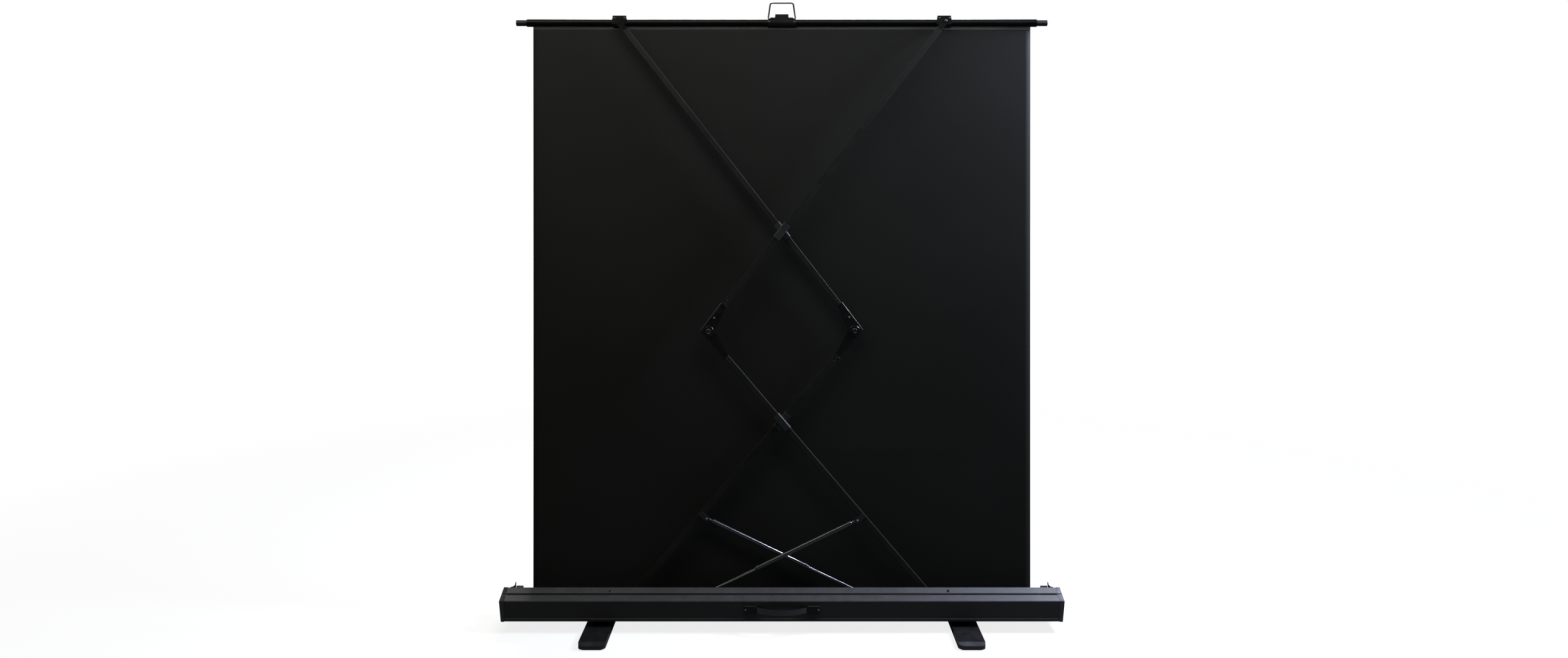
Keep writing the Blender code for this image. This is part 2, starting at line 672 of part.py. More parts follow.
def make_cloth():
    cloth = box("screen_cloth",
                (-CLOTH_HALF_WIDTH, CLOTH_Y - CLOTH_THICK / 2, ROLLER_Z),
                (CLOTH_HALF_WIDTH, CLOTH_Y + CLOTH_THICK / 2, BAR_Z - BAR_RADIUS - SEAT))
    made_of(cloth, "cloth")


def make_bar(frame):
    """The top bar, its end plugs and the saddle of the bail, round the bar's own axis."""
    half, inner = BAR_HALF_LENGTH, BAR_RADIUS - BAR_WALL
    at = (TOP_X, CLOTH_Y - LAYER_A_Y, 0.0)
    tube = turned("top_bar", "x", [(half, inner), (half, BAR_RADIUS), (-half, BAR_RADIUS),
                                   (-half, inner)], at=at, closed=True, sides=ROUND_SIDES)
    made_of(tube, "bar_gloss", frame)
    for side, word in ((-1, "left"), (1, "right")):
        end, tail, snug = half + PLUG_LENGTH, half - PLUG_INSERT, inner - SEAT
        profile = [(side * end, 0.0), (side * end, PLUG_RADIUS - FILLET),
                   (side * (end - FILLET), PLUG_RADIUS), (side * half, PLUG_RADIUS),
                   (side * (half - FILLET), snug), (side * tail, snug), (side * tail, 0.0)]
        plug = turned(f"bar_plug_{word}", "x", profile, at=at, sides=ROUND_SIDES)
        made_of(plug, "plug_black", frame)


def free_the_cloth(ring, low, high, bar_y):
    """Opens a ring below and in front, where the cloth hangs from the bar."""
    reach = BAR_RADIUS + CLAMP_WALL + OVERRUN
    cut(ring, box(ring.name + "_opening",
                  (low - OVERRUN, bar_y - CLOTH_THICK / 2 - CLOTH_GAP, -reach),
                  (high + OVERRUN, bar_y + reach, 0.0)))


def make_clamp(frame, side, word, layer_y):
    """A ring round the bar with a back plate, and the lug that carries an arm's end."""
    centre = TOP_X + side * TOP_X
    bar_y = CLOTH_Y - LAYER_A_Y
    inner, outer = BAR_RADIUS + SEAT, BAR_RADIUS + SEAT + CLAMP_WALL
    low, high = centre - CLAMP_HALF_WIDTH, centre + CLAMP_HALF_WIDTH
    ring = turned(f"bar_clamp_{word}", "x", [(high, inner), (high, outer), (low, outer),
                                            (low, inner)], at=(0.0, bar_y, 0.0),
                  closed=True, sides=ROUND_SIDES)
    free_the_cloth(ring, low, high, bar_y)
    plate_front = bar_y - inner - CLAMP_WALL / 2
    plate_rear = plate_front - CLAMP_PLATE_THICK
    shape = [(centre - CLAMP_FOOT_HALF, -CLAMP_FOOT_DROP),
             (centre + CLAMP_FOOT_HALF, -CLAMP_FOOT_DROP),
             (centre + CLAMP_TOP_HALF, CLAMP_TOP_RISE),
             (centre - CLAMP_TOP_HALF, CLAMP_TOP_RISE)]
    join(ring, plate(f"clamp_plate_{word}", "xz", [shape], plate_rear, plate_front))
    hook_top, hook_half = CLAMP_TOP_RISE - RUN, CLAMP_TOP_HALF - FILLET
    hook = box(f"clamp_hook_{word}",
               (centre - hook_half, plate_front - FILLET, hook_top - CLAMP_PLATE_THICK),
               (centre + hook_half, bar_y, hook_top))
    join(ring, hook)
    web_half = hook_half - FILLET
    web = box(f"clamp_web_{word}", (centre - web_half, bar_y - CLAMP_WALL, inner + FILLET),
              (centre + web_half, bar_y - RUN, hook_top - FILLET))
    join(ring, web)
    reach = TONGUE_THICK if side < 0 else ARM_THICK
    face = layer_y - LAYER_A_Y + reach / 2 + RUN
    lug = rod(f"clamp_lug_{word}", "y", face, plate_rear + FILLET, CLAMP_LUG_RADIUS,
              at=(centre, 0.0, 0.0))
    join(ring, lug)
    if side < 0:
        rear = -(TONGUE_THICK / 2 + RUN)
        join(ring, rod(f"clamp_pin_{word}", "y", rear - RUN, face + RUN,
                       END_HOLE_RADIUS - SEAT, at=(centre, 0.0, 0.0)))
        join(ring, rod(f"clamp_rivet_{word}", "y", rear - PIN_HEAD_THICK, rear,
                       PIN_HEAD_RADIUS, at=(centre, 0.0, 0.0)))
    made_of(ring, "fitting_black", frame)


def make_bail(bar_frame):
    bar_y = CLOTH_Y - LAYER_A_Y
    inner = BAR_RADIUS + SEAT
    outer = inner + SADDLE_THICK
    low, high = TOP_X - SADDLE_HALF_WIDTH, TOP_X + SADDLE_HALF_WIDTH
    saddle = turned("bail_bracket", "x", [(high, inner), (high, outer), (low, outer),
                                         (low, inner)], at=(0.0, bar_y, 0.0),
                    closed=True, sides=ROUND_SIDES)
    front = box("saddle_front", (low - OVERRUN, bar_y + SADDLE_THICK, -BAR_RADIUS - OVERRUN),
                (high + OVERRUN, bar_y + BAR_RADIUS + OVERRUN, BAR_RADIUS + OVERRUN))
    cut(saddle, front)
    free_the_cloth(saddle, low, high, bar_y)
    axis_y, axis_z = bar_y - BAIL_BACK, BAIL_UP
    tab_y = bar_y - inner - SADDLE_THICK / 2
    tab = plate("saddle_tab", "xz",
                [[(TOP_X - SADDLE_TAB_HALF, 0.0), (TOP_X + SADDLE_TAB_HALF, 0.0),
                  (TOP_X + BARREL_INNER, SADDLE_TAB_RISE),
                  (TOP_X - BARREL_INNER, SADDLE_TAB_RISE)]],
                tab_y - SADDLE_THICK, tab_y)
    join(saddle, tab)
    for side in (-1, 1):
        centre = TOP_X + side * (BARREL_INNER + BARREL_OUTER) / 2
        half = (BARREL_OUTER - BARREL_INNER) / 2
        barrel = rod(f"barrel_{side}", "x", centre - half, centre + half, BARREL_RADIUS,
                     at=(0.0, axis_y, axis_z))
        join(saddle, barrel)
        strap = box(f"barrel_strap_{side}",
                    (centre - half, axis_y - BARREL_RADIUS + FILLET, 0.0),
                    (centre + half, axis_y + SADDLE_THICK - BARREL_RADIUS + FILLET, axis_z))
        join(saddle, strap)
    for side in (-1, 1):
        ends = sorted((TOP_X + side * (BARREL_INNER + BAIL_WIRE_RADIUS - RUN),
                       TOP_X + side * (BARREL_OUTER + OVERRUN)))
        cut(saddle, rod(f"barrel_bore_{side}", "x", *ends, BAIL_WIRE_RADIUS + SEAT,
                        at=(0.0, axis_y, axis_z)))
    made_of(saddle, "fitting_black", bar_frame)
    frame = axis_empty("bail_axis", (0.0, CLOTH_Y - BAIL_BACK, BAR_Z + BAIL_UP))
    inside = BARREL_INNER + BAIL_WIRE_RADIUS
    bend = BAIL_WIRE_RADIUS
    path = [(inside, 0.0), (BAIL_FOOT_HALF - bend, 0.0), (BAIL_FOOT_HALF, bend)]
    middle = (BAIL_TOP_HALF - BAIL_CORNER, BAIL_HEIGHT - BAIL_CORNER)
    path += arc(middle, BAIL_CORNER, 0.0, 90.0, 5)
    points = [(x, 0.0, z) for x, z in path] + [(-x, 0.0, z) for x, z in path[::-1]]
    made_of(wire("wire_bail", points, BAIL_WIRE_RADIUS), "wire_steel", frame)


def arm_tube(name, start, end, height):
    """A flat-sided tube along x with round corners, open at both ends."""
    outer = rounded(ARM_THICK, ARM_WIDTH, ARM_CORNER, centre=(0.0, height))
    inner = rounded(ARM_THICK - 2 * ARM_WALL, ARM_WIDTH - 2 * ARM_WALL,
                    ARM_CORNER - ARM_WALL, centre=(0.0, height))
    return plate(name, "yz", [outer, inner], start, end)


def fitting(name, tube_end, height, pivot, boss, hole, thick, facing, tip=0.0):
    """A plate that plugs into a tube's end and is drawn round a pivot's eye.

    Its upper edge may run straight on past the eye to a tip.
    """
    half_out = ARM_WIDTH / 2 - ARM_WALL
    half_in = half_out - 2 * SEAT
    inside = tube_end - facing * FITTING_INSERT
    strip = [(inside, height - half_in), (inside, height + half_in)]
    low, high = (tube_end, height - half_in), (tube_end, height + half_in)
    if tip:
        corner = (pivot[0] + facing * tip, height + half_in)
        outline = eye_outline(low, corner, pivot, boss, facing) + [high]
    else:
        outline = eye_outline(low, high, pivot, boss, facing)
    loop = [strip[0]] + outline + [strip[1]]
    circle = arc(pivot, hole + SEAT, 0.0, 360.0, SMALL_SIDES)[:-1]
    return plate(name, "xz", [loop, circle], -thick / 2, thick / 2)


def sleeve(name, centre, height, facing_y, frame):
    """A sliding collar round an arm, with the boss that faces the other arm's collar."""
    gap_y, gap_z = ARM_THICK + 2 * SEAT, ARM_WIDTH + 2 * SEAT
    outer = rounded(gap_y + 2 * SLEEVE_WALL_SIDE, gap_z + 2 * SLEEVE_WALL_EDGE,
                    ARM_CORNER + SLEEVE_WALL_SIDE, centre=(0.0, height))
    inner = rounded(gap_y, gap_z, ARM_CORNER, centre=(0.0, height))
    half = SLEEVE_LENGTH / 2
    collar = plate(name, "yz", [outer, inner], centre - half, centre + half)
    side_y = gap_y / 2 + SLEEVE_WALL_SIDE
    reach = (LAYER_A_Y - LAYER_B_Y - SLEEVE_BOSS_GAP) / 2
    ends = sorted((facing_y * (side_y - RUN), facing_y * reach))
    boss = rod(name + "_boss", "y", *ends, SLEEVE_BOSS_RADIUS, at=(centre, 0.0, height))
    join(collar, boss)
    return made_of(collar, "slider_nylon", frame)


def make_chain(word, side, layer_y):
    """One chain: a lower and an upper arm with their fittings, collars and strut.

    Side 1 runs from the base at the left to an elbow at the right; side -1 mirrors it.
    """
    rear = -side
    base = axis_empty(f"base_axis_{word}", (-side * BASE_X, layer_y, BASE_Z), LOWER_TILT,
                      side < 0)
    elbow = axis_empty(f"elbow_axis_{word}", (side * ELBOW_X, layer_y, ELBOW_Z), UPPER_TILT,
                       side > 0)
    lower_end = LOWER_RUN - ELBOW_REACH
    made_of(arm_tube(f"lower_arm_{word}", BASE_REACH, lower_end, 0.0), "arm_black", base)
    made_of(fitting(f"base_tongue_{word}", BASE_REACH, 0.0, (0.0, 0.0), BASE_BOSS,
                    END_HOLE_RADIUS, TONGUE_THICK, -1), "fitting_black", base)
    made_of(fitting(f"elbow_tongue_{word}", lower_end, 0.0, (LOWER_RUN, LOWER_OFFSET),
                    ELBOW_BOSS, PIN_RADIUS, TONGUE_THICK, 1), "fitting_black", base)
    upper_end = UPPER_RUN - TOP_REACH
    upper_tube = arm_tube(f"upper_arm_{word}", ELBOW_REACH, upper_end, UPPER_OFFSET)
    made_of(upper_tube, "arm_black", elbow)
    fork = fitting(f"elbow_fork_{word}", ELBOW_REACH, UPPER_OFFSET, (0.0, 0.0), ELBOW_BOSS,
                   PIN_RADIUS, FORK_THICK, -1, ELBOW_TIP)
    slot_half = TONGUE_THICK / 2 + SEAT
    slot = box(f"fork_slot_{word}", (-2 * ELBOW_BOSS, -slot_half, -2 * ELBOW_BOSS),
               (ELBOW_REACH - FORK_WEB, slot_half, 2 * ELBOW_BOSS))
    cut(fork, slot)
    made_of(fork, "fitting_black", elbow)
    top_end = fitting(f"top_tongue_{word}", upper_end, UPPER_OFFSET,
                      (UPPER_RUN, UPPER_OFFSET), TOP_BOSS, END_HOLE_RADIUS, TONGUE_THICK, 1)
    if side < 0:
        ends = sorted((side * (TONGUE_THICK / 2 + PIN_HEAD_THICK), -side * ARM_THICK / 2))
        join(top_end, rod("top_boss_b", "y", *ends, PIN_HEAD_RADIUS,
                          at=(UPPER_RUN, 0.0, UPPER_OFFSET)))
    made_of(top_end, "fitting_black", elbow)
    head = FORK_THICK / 2 + SEAT
    far = head + PIN_HEAD_THICK
    profile = [(far, 0.0), (far, PIN_HEAD_RADIUS - FILLET), (head, PIN_HEAD_RADIUS),
               (head, PIN_RADIUS), (-head, PIN_RADIUS), (-head, PIN_HEAD_RADIUS),
               (-far, PIN_HEAD_RADIUS - FILLET), (-far, 0.0)]
    made_of(turned(f"elbow_pin_{word}", "y", profile), "bare_steel", elbow)
    tilt = LOWER_TILT
    crossing = BASE_X / math.cos(tilt)
    sleeve(f"lower_sleeve_{word}", crossing, 0.0, -1, base)
    from_elbow = UPPER_RUN - (TOP_X / math.cos(UPPER_TILT))
    sleeve(f"upper_sleeve_{word}", from_elbow, UPPER_OFFSET, 1, elbow)
    make_strut(word, side, layer_y, base, rear)
    make_shoe(word, side, layer_y)


def make_shoe(word, side, layer_y):
    """The rail on the case floor and the shoe that carries a lower arm's foot."""
    low = CASE_INSIDE_Z + SEAT
    rail_x = sorted((-side * (BASE_X + RAIL_OVERHANG), -side * (FOLDED_BASE_X - RAIL_OVERHANG)))
    rail = box(f"slide_rail_{word}", (rail_x[0], layer_y - RAIL_WIDTH / 2, low),
               (rail_x[1], layer_y + RAIL_WIDTH / 2, low + RAIL_HEIGHT))
    made_of(rail, "bare_steel")
    frame = axis_empty(f"shoe_axis_{word}", (-side * BASE_X, layer_y, BASE_Z))
    bottom = low + RUN - BASE_Z
    block = box(f"slide_shoe_{word}", (-SHOE_HALF_LENGTH, -SHOE_WIDTH / 2, bottom),
                (SHOE_HALF_LENGTH, SHOE_WIDTH / 2, SHOE_ABOVE_PIVOT), FILLET)
    slot = box(f"shoe_slot_{word}", (-SHOE_HALF_LENGTH - OVERRUN, -TONGUE_THICK / 2 - SEAT,
                                     -SHOE_SLOT_DEPTH),
               (SHOE_HALF_LENGTH + OVERRUN, TONGUE_THICK / 2 + SEAT,
                SHOE_ABOVE_PIVOT + OVERRUN))
    cut(block, slot)
    groove = box(f"shoe_groove_{word}", (-SHOE_HALF_LENGTH - OVERRUN, -RAIL_WIDTH / 2 - SEAT,
                                         bottom - OVERRUN),
                 (SHOE_HALF_LENGTH + OVERRUN, RAIL_WIDTH / 2 + SEAT,
                  low + RAIL_HEIGHT + RUN - BASE_Z))
    cut(block, groove)
    join(block, rod(f"shoe_pin_{word}", "y", -SHOE_WIDTH / 2 + RUN, SHOE_WIDTH / 2 - RUN,
                    END_HOLE_RADIUS - SEAT))
    made_of(block, "slider_nylon", frame)


def make_strut(word, side, layer_y, base, rear):
    """The tab on the arm, the cylinder, the rod and the anchor on the case floor."""
    face = ARM_THICK / 2 + SEAT
    shape = [(STRUT_ALONG - TAB_HALF_LENGTH, TAB_RISE),
             (STRUT_ALONG - TAB_HALF_LENGTH, -STRUT_BELOW),
             *arc((STRUT_ALONG, -STRUT_BELOW), TAB_HALF_LENGTH, 180.0, 360.0),
             (STRUT_ALONG + TAB_HALF_LENGTH, TAB_RISE)]
    ends = sorted((rear * face, rear * (face + TAB_THICK)))
    tab = plate(f"strut_tab_{word}", "xz", [shape], *ends)
    at = (STRUT_ALONG, 0.0, -STRUT_BELOW)
    ends = sorted((rear * (face + RUN), -rear * (STRUT_EYE_HALF + RUN)))
    join(tab, rod(f"tab_pin_{word}", "y", *ends, STRUT_PIN_RADIUS, at=at))
    ends = sorted((rear * (face + TAB_THICK - RUN), rear * (face + TAB_THICK
                                                           + TAB_BOLT_THICK)))
    join(tab, rod(f"tab_bolt_{word}", "y", *ends, TAB_BOLT_RADIUS, at=at))
    made_of(tab, "fitting_black", base)
    turn = Vector((math.cos(LOWER_TILT), math.sin(LOWER_TILT)))
    upper = Vector((-BASE_X, BASE_Z)) + turn * STRUT_ALONG + Vector((turn.y, -turn.x)) * (
        STRUT_BELOW)
    anchor = Vector((STRUT_ANCHOR_X, STRUT_ANCHOR_Z))
    drop = math.atan2(anchor.y - upper.y, anchor.x - upper.x)
    length = (anchor - upper).length
    frame = axis_empty(f"strut_axis_{word}", (side * upper.x, layer_y, upper.y), drop,
                       side < 0)
    bore = STRUT_ROD_RADIUS + SEAT
    mouth = length * STRUT_CYLINDER_SHARE
    gland = STRUT_RADIUS - STRUT_GLAND_STEP
    shoulder = mouth - STRUT_GLAND_LENGTH
    profile = [(STRUT_BORE_START, 0.0), (STRUT_BORE_START, bore), (mouth, bore),
               (mouth, gland), (shoulder, gland), (shoulder, STRUT_RADIUS),
               (STRUT_START + STRUT_RADIUS / 2, STRUT_RADIUS),
               (STRUT_START, STRUT_NECK_RADIUS),
               (STRUT_EYE_RADIUS / 2, STRUT_NECK_RADIUS), (STRUT_EYE_RADIUS / 2, 0.0)]
    body = turned(f"strut_cylinder_{word}", "x", profile, sides=ROUND_SIDES)
    eye_join(body, f"cylinder_eye_{word}", 0.0)
    made_of(body, "strut_black", frame)
    inner_end = length * (1 - STRUT_ROD_SHARE)
    shaft = turned(f"strut_rod_{word}", "x",
                   [(length - STRUT_EYE_RADIUS / 2, 0.0),
                    (length - STRUT_EYE_RADIUS / 2, STRUT_ROD_RADIUS),
                    (inner_end, STRUT_ROD_RADIUS), (inner_end, 0.0)], sides=ROUND_SIDES)
    eye_join(shaft, f"rod_eye_{word}", length)
    made_of(shaft, "strut_rod", frame)
    make_anchor(word, side, layer_y)


def eye_join(target, name, along):
    """Adds an eye with its hole at a place along x."""
    eye = rod(name, "y", -STRUT_EYE_HALF, STRUT_EYE_HALF, STRUT_EYE_RADIUS,
              at=(along, 0.0, 0.0))
    join(target, eye)
    hole = rod(name + "_hole", "y", -STRUT_EYE_HALF - OVERRUN, STRUT_EYE_HALF + OVERRUN,
               STRUT_PIN_RADIUS + SEAT, at=(along, 0.0, 0.0))
    cut(target, hole)


def make_anchor(word, side, layer_y):
    """A plate on a foot beside the rod's eye, with the stub of its pin."""
    front = side
    centre = side * STRUT_ANCHOR_X
    near = layer_y + front * (STRUT_EYE_HALF + ANCHOR_GAP)
    far = near + front * ANCHOR_THICK
    low = CASE_INSIDE_Z + SEAT
    top = STRUT_ANCHOR_Z + STRUT_EYE_RADIUS
    upright = box(f"strut_anchor_{word}", (centre - ANCHOR_HALF_LENGTH, min(near, far), low),
                  (centre + ANCHOR_HALF_LENGTH, max(near, far), top))
    foot_y = sorted((near, near + front * ANCHOR_FOOT_WIDTH))
    join(upright, box(f"anchor_foot_{word}", (centre - ANCHOR_HALF_LENGTH, foot_y[0], low),
                      (centre + ANCHOR_HALF_LENGTH, foot_y[1], low + ANCHOR_THICK)))
    made_of(upright, "bare_steel")


def make_handle():
    """A bowed strap between two mounts on the rear wall, drawn as one arc in plan."""
    wall = -CASE_DEPTH / 2 - SEAT
    half = HANDLE_INNER - SEAT
    chord = 2 * half
    radius = (chord ** 2 / 4 + HANDLE_BOW ** 2) / (2 * HANDLE_BOW)
    rear = wall - HANDLE_MOUNT_DEPTH
    middle_y = rear + 2 * FILLET - HANDLE_BOW + radius
    swing = math.degrees(math.asin(half / radius))
    outer = arc((0.0, middle_y), radius, -90.0 - swing, -90.0 + swing, HANDLE_STEPS)
    thick = radius - HANDLE_STRAP_THICK
    inner = arc((0.0, middle_y), thick, -90.0 + swing, -90.0 - swing, HANDLE_STEPS)
    strap = plate("carry_handle", "xy", [outer + inner], HANDLE_Z - HANDLE_STRAP_WIDTH / 2,
                  HANDLE_Z + HANDLE_STRAP_WIDTH / 2)
    made_of(strap, "handle_black")
    for side, word in ((-1, "left"), (1, "right")):
        ends = sorted((side * HANDLE_INNER, side * HANDLE_HALF))
        mount = box(f"handle_mount_{word}",
                    (ends[0], wall - HANDLE_MOUNT_DEPTH, HANDLE_Z - HANDLE_MOUNT_HEIGHT / 2),
                    (ends[1], wall, HANDLE_Z + HANDLE_MOUNT_HEIGHT / 2), 2 * FILLET)
        made_of(mount, "handle_black")


def make_foot(side, word):
    """A flat foot that swivels under the case, its rubber sole and its bolt."""
    frame = axis_empty(f"foot_axis_{word}", (side * FOOT_X, 0.0, 0.0))
    low = SOLE_THICK + SEAT
    shape = rounded(2 * FOOT_HALF_WIDTH, 2 * FOOT_HALF_LENGTH, FOOT_CORNER, 5)
    foot = plate(f"foot_{word}", "xy", [shape], low, FOOT_TOP_Z)
    for end in (-1, 1):
        reach = FOOT_HALF_LENGTH - FOOT_END_RUN
        outline = [(end * reach, FOOT_TOP_Z), (end * (FOOT_HALF_LENGTH + OVERRUN),
                                               FOOT_TOP_Z - FOOT_END_DROP),
                   (end * (FOOT_HALF_LENGTH + OVERRUN), FOOT_TOP_Z + OVERRUN),
                   (end * reach, FOOT_TOP_Z + OVERRUN)]
        cut(foot, plate(f"foot_slope_{word}_{end}", "yz", [outline],
                        -FOOT_HALF_WIDTH - OVERRUN, FOOT_HALF_WIDTH + OVERRUN))
    join(foot, rod(f"foot_boss_{word}", "z", FOOT_TOP_Z - RUN, CASE_FLOOR_Z - SEAT,
                   FOOT_BOSS_RADIUS, ROUND_SIDES))
    cut(foot, rod(f"foot_bore_cut_{word}", "z", 0.0, CASE_FLOOR_Z + OVERRUN,
                  FOOT_BOLT_RADIUS + SEAT))
    cut(foot, rod(f"foot_counterbore_{word}", "z", 0.0,
                  low + FOOT_BOLT_HEAD_THICK + SEAT, FOOT_BOLT_HEAD + SEAT))
    made_of(foot, "foot_black", frame)
    sole_shape = rounded(2 * (FOOT_HALF_WIDTH - SOLE_INSET),
                         2 * (FOOT_HALF_LENGTH - SOLE_INSET), FOOT_CORNER - SOLE_INSET, 5)
    hole = arc((0.0, 0.0), FOOT_BOLT_HEAD + SEAT, 0.0, 360.0, SMALL_SIDES)[:-1]
    sole = plate(f"foot_sole_{word}", "xy", [sole_shape, hole], 0.0, SOLE_THICK)
    made_of(sole, "sole_rubber", frame)
    top = CASE_INSIDE_Z + SEAT + FOOT_BOLT_HEAD_THICK
    bottom = low
    head, shaft = FOOT_BOLT_HEAD, FOOT_BOLT_RADIUS
    profile = [(top, 0.0), (top, head), (CASE_INSIDE_Z + SEAT, head),
               (CASE_INSIDE_Z + SEAT, shaft), (bottom + FOOT_BOLT_HEAD_THICK, shaft),
               (bottom + FOOT_BOLT_HEAD_THICK, head), (bottom, head), (bottom, 0.0)]
    bolt = turned(f"foot_bolt_{word}", "z", profile, at=(side * FOOT_X, 0.0, 0.0))
    made_of(bolt, "bare_steel")


make_case()
make_roller()
make_cloth()
make_handle()
BAR_FRAME = axis_empty("bar_axis", (-TOP_X, LAYER_A_Y, BAR_Z))
make_bar(BAR_FRAME)
make_bail(BAR_FRAME)
make_clamp(BAR_FRAME, -1, "left", LAYER_A_Y)
make_clamp(BAR_FRAME, 1, "right", LAYER_B_Y)
make_chain("a", 1, LAYER_A_Y)
make_chain("b", -1, LAYER_B_Y)
for SIDE, WORD in ((-1, "left"), (1, "right")):
    make_end_cap(SIDE, WORD)
    make_catch(SIDE, WORD)
    make_roller_bracket(SIDE, WORD)
    make_foot(SIDE, WORD)
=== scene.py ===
"""Looks for the pull up projection screen: camera, light, finishes, cloth and small details."""
import math

import bmesh
import bpy
from mathutils import Matrix, Vector


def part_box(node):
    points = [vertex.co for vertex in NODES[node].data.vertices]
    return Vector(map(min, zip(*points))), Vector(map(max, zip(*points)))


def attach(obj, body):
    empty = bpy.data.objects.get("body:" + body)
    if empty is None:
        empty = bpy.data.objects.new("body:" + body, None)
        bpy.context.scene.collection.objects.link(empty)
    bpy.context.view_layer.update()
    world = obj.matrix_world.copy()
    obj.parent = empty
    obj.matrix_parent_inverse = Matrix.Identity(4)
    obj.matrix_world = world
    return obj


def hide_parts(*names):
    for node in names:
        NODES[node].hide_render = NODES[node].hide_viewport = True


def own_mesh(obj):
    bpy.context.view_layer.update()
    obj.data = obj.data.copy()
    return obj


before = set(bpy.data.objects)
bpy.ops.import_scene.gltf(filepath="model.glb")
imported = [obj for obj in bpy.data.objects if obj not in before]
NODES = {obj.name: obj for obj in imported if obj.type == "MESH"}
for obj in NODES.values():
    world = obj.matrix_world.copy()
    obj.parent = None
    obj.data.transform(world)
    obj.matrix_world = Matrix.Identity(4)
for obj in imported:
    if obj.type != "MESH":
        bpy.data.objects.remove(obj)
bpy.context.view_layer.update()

scene = bpy.context.scene
RIGHT = Vector((1.0, 0.0, 0.0))
UP = Vector((0.0, 0.0, 1.0))
FRONT = Vector((0.0, 1.0, 0.0))
BACK = Vector((0.0, -1.0, 0.0))
WHITE = (1.0, 1.0, 1.0, 1.0)

# Camera behind the screen, level, as the photo was taken
PHOTO_WIDTH = 2576
SENSOR = 36.0
CAMERA_Y = -3.837
CAMERA_Z = 1.5765
FOCAL_PX = 1720.0
CENTRE_PX = (1284.4, 317.7)
PHOTO_CENTRE_PX = (1288.0, 540.5)


def linked(obj):
    """Puts an object in the scene."""
    scene.collection.objects.link(obj)
    return obj


def make_camera():
    """The photo's camera, with its lens shifted and not tilted."""
    data = bpy.data.cameras.new("photo_camera")
    data.sensor_width = SENSOR
    data.lens = FOCAL_PX / PHOTO_WIDTH * SENSOR
    data.shift_x = (PHOTO_CENTRE_PX[0] - CENTRE_PX[0]) / PHOTO_WIDTH
    data.shift_y = (CENTRE_PX[1] - PHOTO_CENTRE_PX[1]) / PHOTO_WIDTH
    camera = linked(bpy.data.objects.new("photo_camera", data))
    camera.location = (0.0, CAMERA_Y, CAMERA_Z)
    camera.rotation_euler = (math.radians(90.0), 0.0, 0.0)
    scene.camera = camera


make_camera()


def opaque(shade):
    """A grey or a colour as four channels."""
    return (*shade, 1.0) if hasattr(shade, "__len__") else (shade, shade, shade, 1.0)


class Nodes:
    """A small helper for building one node tree."""

    def __init__(self, tree):
        self.tree = tree

    def feed(self, value, target):
        """Links an output to an input, or sets the input's own value."""
        if isinstance(value, bpy.types.NodeSocket):
            self.tree.links.new(value, target)
        else:
            target.default_value = value

    def node(self, kind, **settings):
        """A new node: names with a capital are its inputs, the others its properties."""
        made = self.tree.nodes.new(kind)
        for key, value in settings.items():
            if key[0].isupper():
                self.feed(value, made.inputs[key.replace("_", " ")])
            else:
                setattr(made, key, value)
        return made

    def combine(self, operation, first, second, clamp=False):
        """One operation on two values."""
        made = self.node("ShaderNodeMath", operation=operation, use_clamp=clamp)
        self.feed(first, made.inputs[0])
        self.feed(second, made.inputs[1])
        return made.outputs[0]

    def seen(self):
        """1 where the camera sees a point, straight or through something clear, and else 0."""
        path = self.node("ShaderNodeLightPath")
        return self.combine("MAXIMUM", path.outputs["Is Camera Ray"],
                            path.outputs["Is Transmission Ray"])


class Shader(Nodes):
    """A new material and what its finishes have in common."""

    def __init__(self, name):
        self.material = bpy.data.materials.new(name)
        self.material.use_nodes = True
        super().__init__(self.material.node_tree)
        self.main = self.tree.nodes["Principled BSDF"]
        self.output = self.tree.nodes["Material Output"]

    def place(self, scale=(1.0, 1.0, 1.0)):
        """Object coordinates in metres, stretched by a scale."""
        coords = self.node("ShaderNodeTexCoord")
        mapping = self.node("ShaderNodeMapping", Vector=coords.outputs["Object"], Scale=scale)
        return mapping.outputs["Vector"]

    def noise(self, scale, detail, stretch=(1.0, 1.0, 1.0)):
        """Noise over the object, with its scale per metre."""
        made = self.node("ShaderNodeTexNoise", Vector=self.place(stretch), Scale=scale,
                         Detail=detail)
        return made.outputs["Fac"]

    def ramp(self, fac, low, high, start=0.35, end=0.65):
        """A smooth step from one grey or colour to another."""
        made = self.node("ShaderNodeValToRGB", Fac=fac)
        first, last = made.color_ramp.elements
        first.position, last.position = start, end
        first.color = opaque(low)
        last.color = opaque(high)
        return made.outputs["Color"]

    def facing(self, axis):
        """How far the face's own normal points along a world axis."""
        geometry = self.node("ShaderNodeNewGeometry")
        parts = self.node("ShaderNodeSeparateXYZ", Vector=geometry.outputs["True Normal"])
        return parts.outputs[axis]

    def bump(self, height, strength, distance):
        """A relief of a given depth in metres."""
        made = self.node("ShaderNodeBump", Height=height, Strength=strength,
                         Distance=distance)
        return made.outputs["Normal"]

    def set(self, **values):
        """Feeds the inputs of the Principled BSDF."""
        for key, value in values.items():
            self.feed(value, self.main.inputs[key.replace("_", " ")])


# Noise as scale and detail, shared by all coats and by all bare metals
DRIFT_NOISE = (9.0, 4.0)
SHEEN_NOISE = (25.0, 5.0)
DUST_NOISE = (140.0, 6.0)
DUST_STEP = (0.40, 0.75)
DUST_COLOUR = (0.22, 0.22, 0.22, 1.0)
PEEL_DETAIL = 2.0
PEEL_STRENGTH = 0.5
COAT_ROUGHNESS = 0.16
DRAWN_NOISE = (220.0, 4.0)
DRAWN_STRENGTH = 0.25
DRAWN_DEPTH = 0.00003


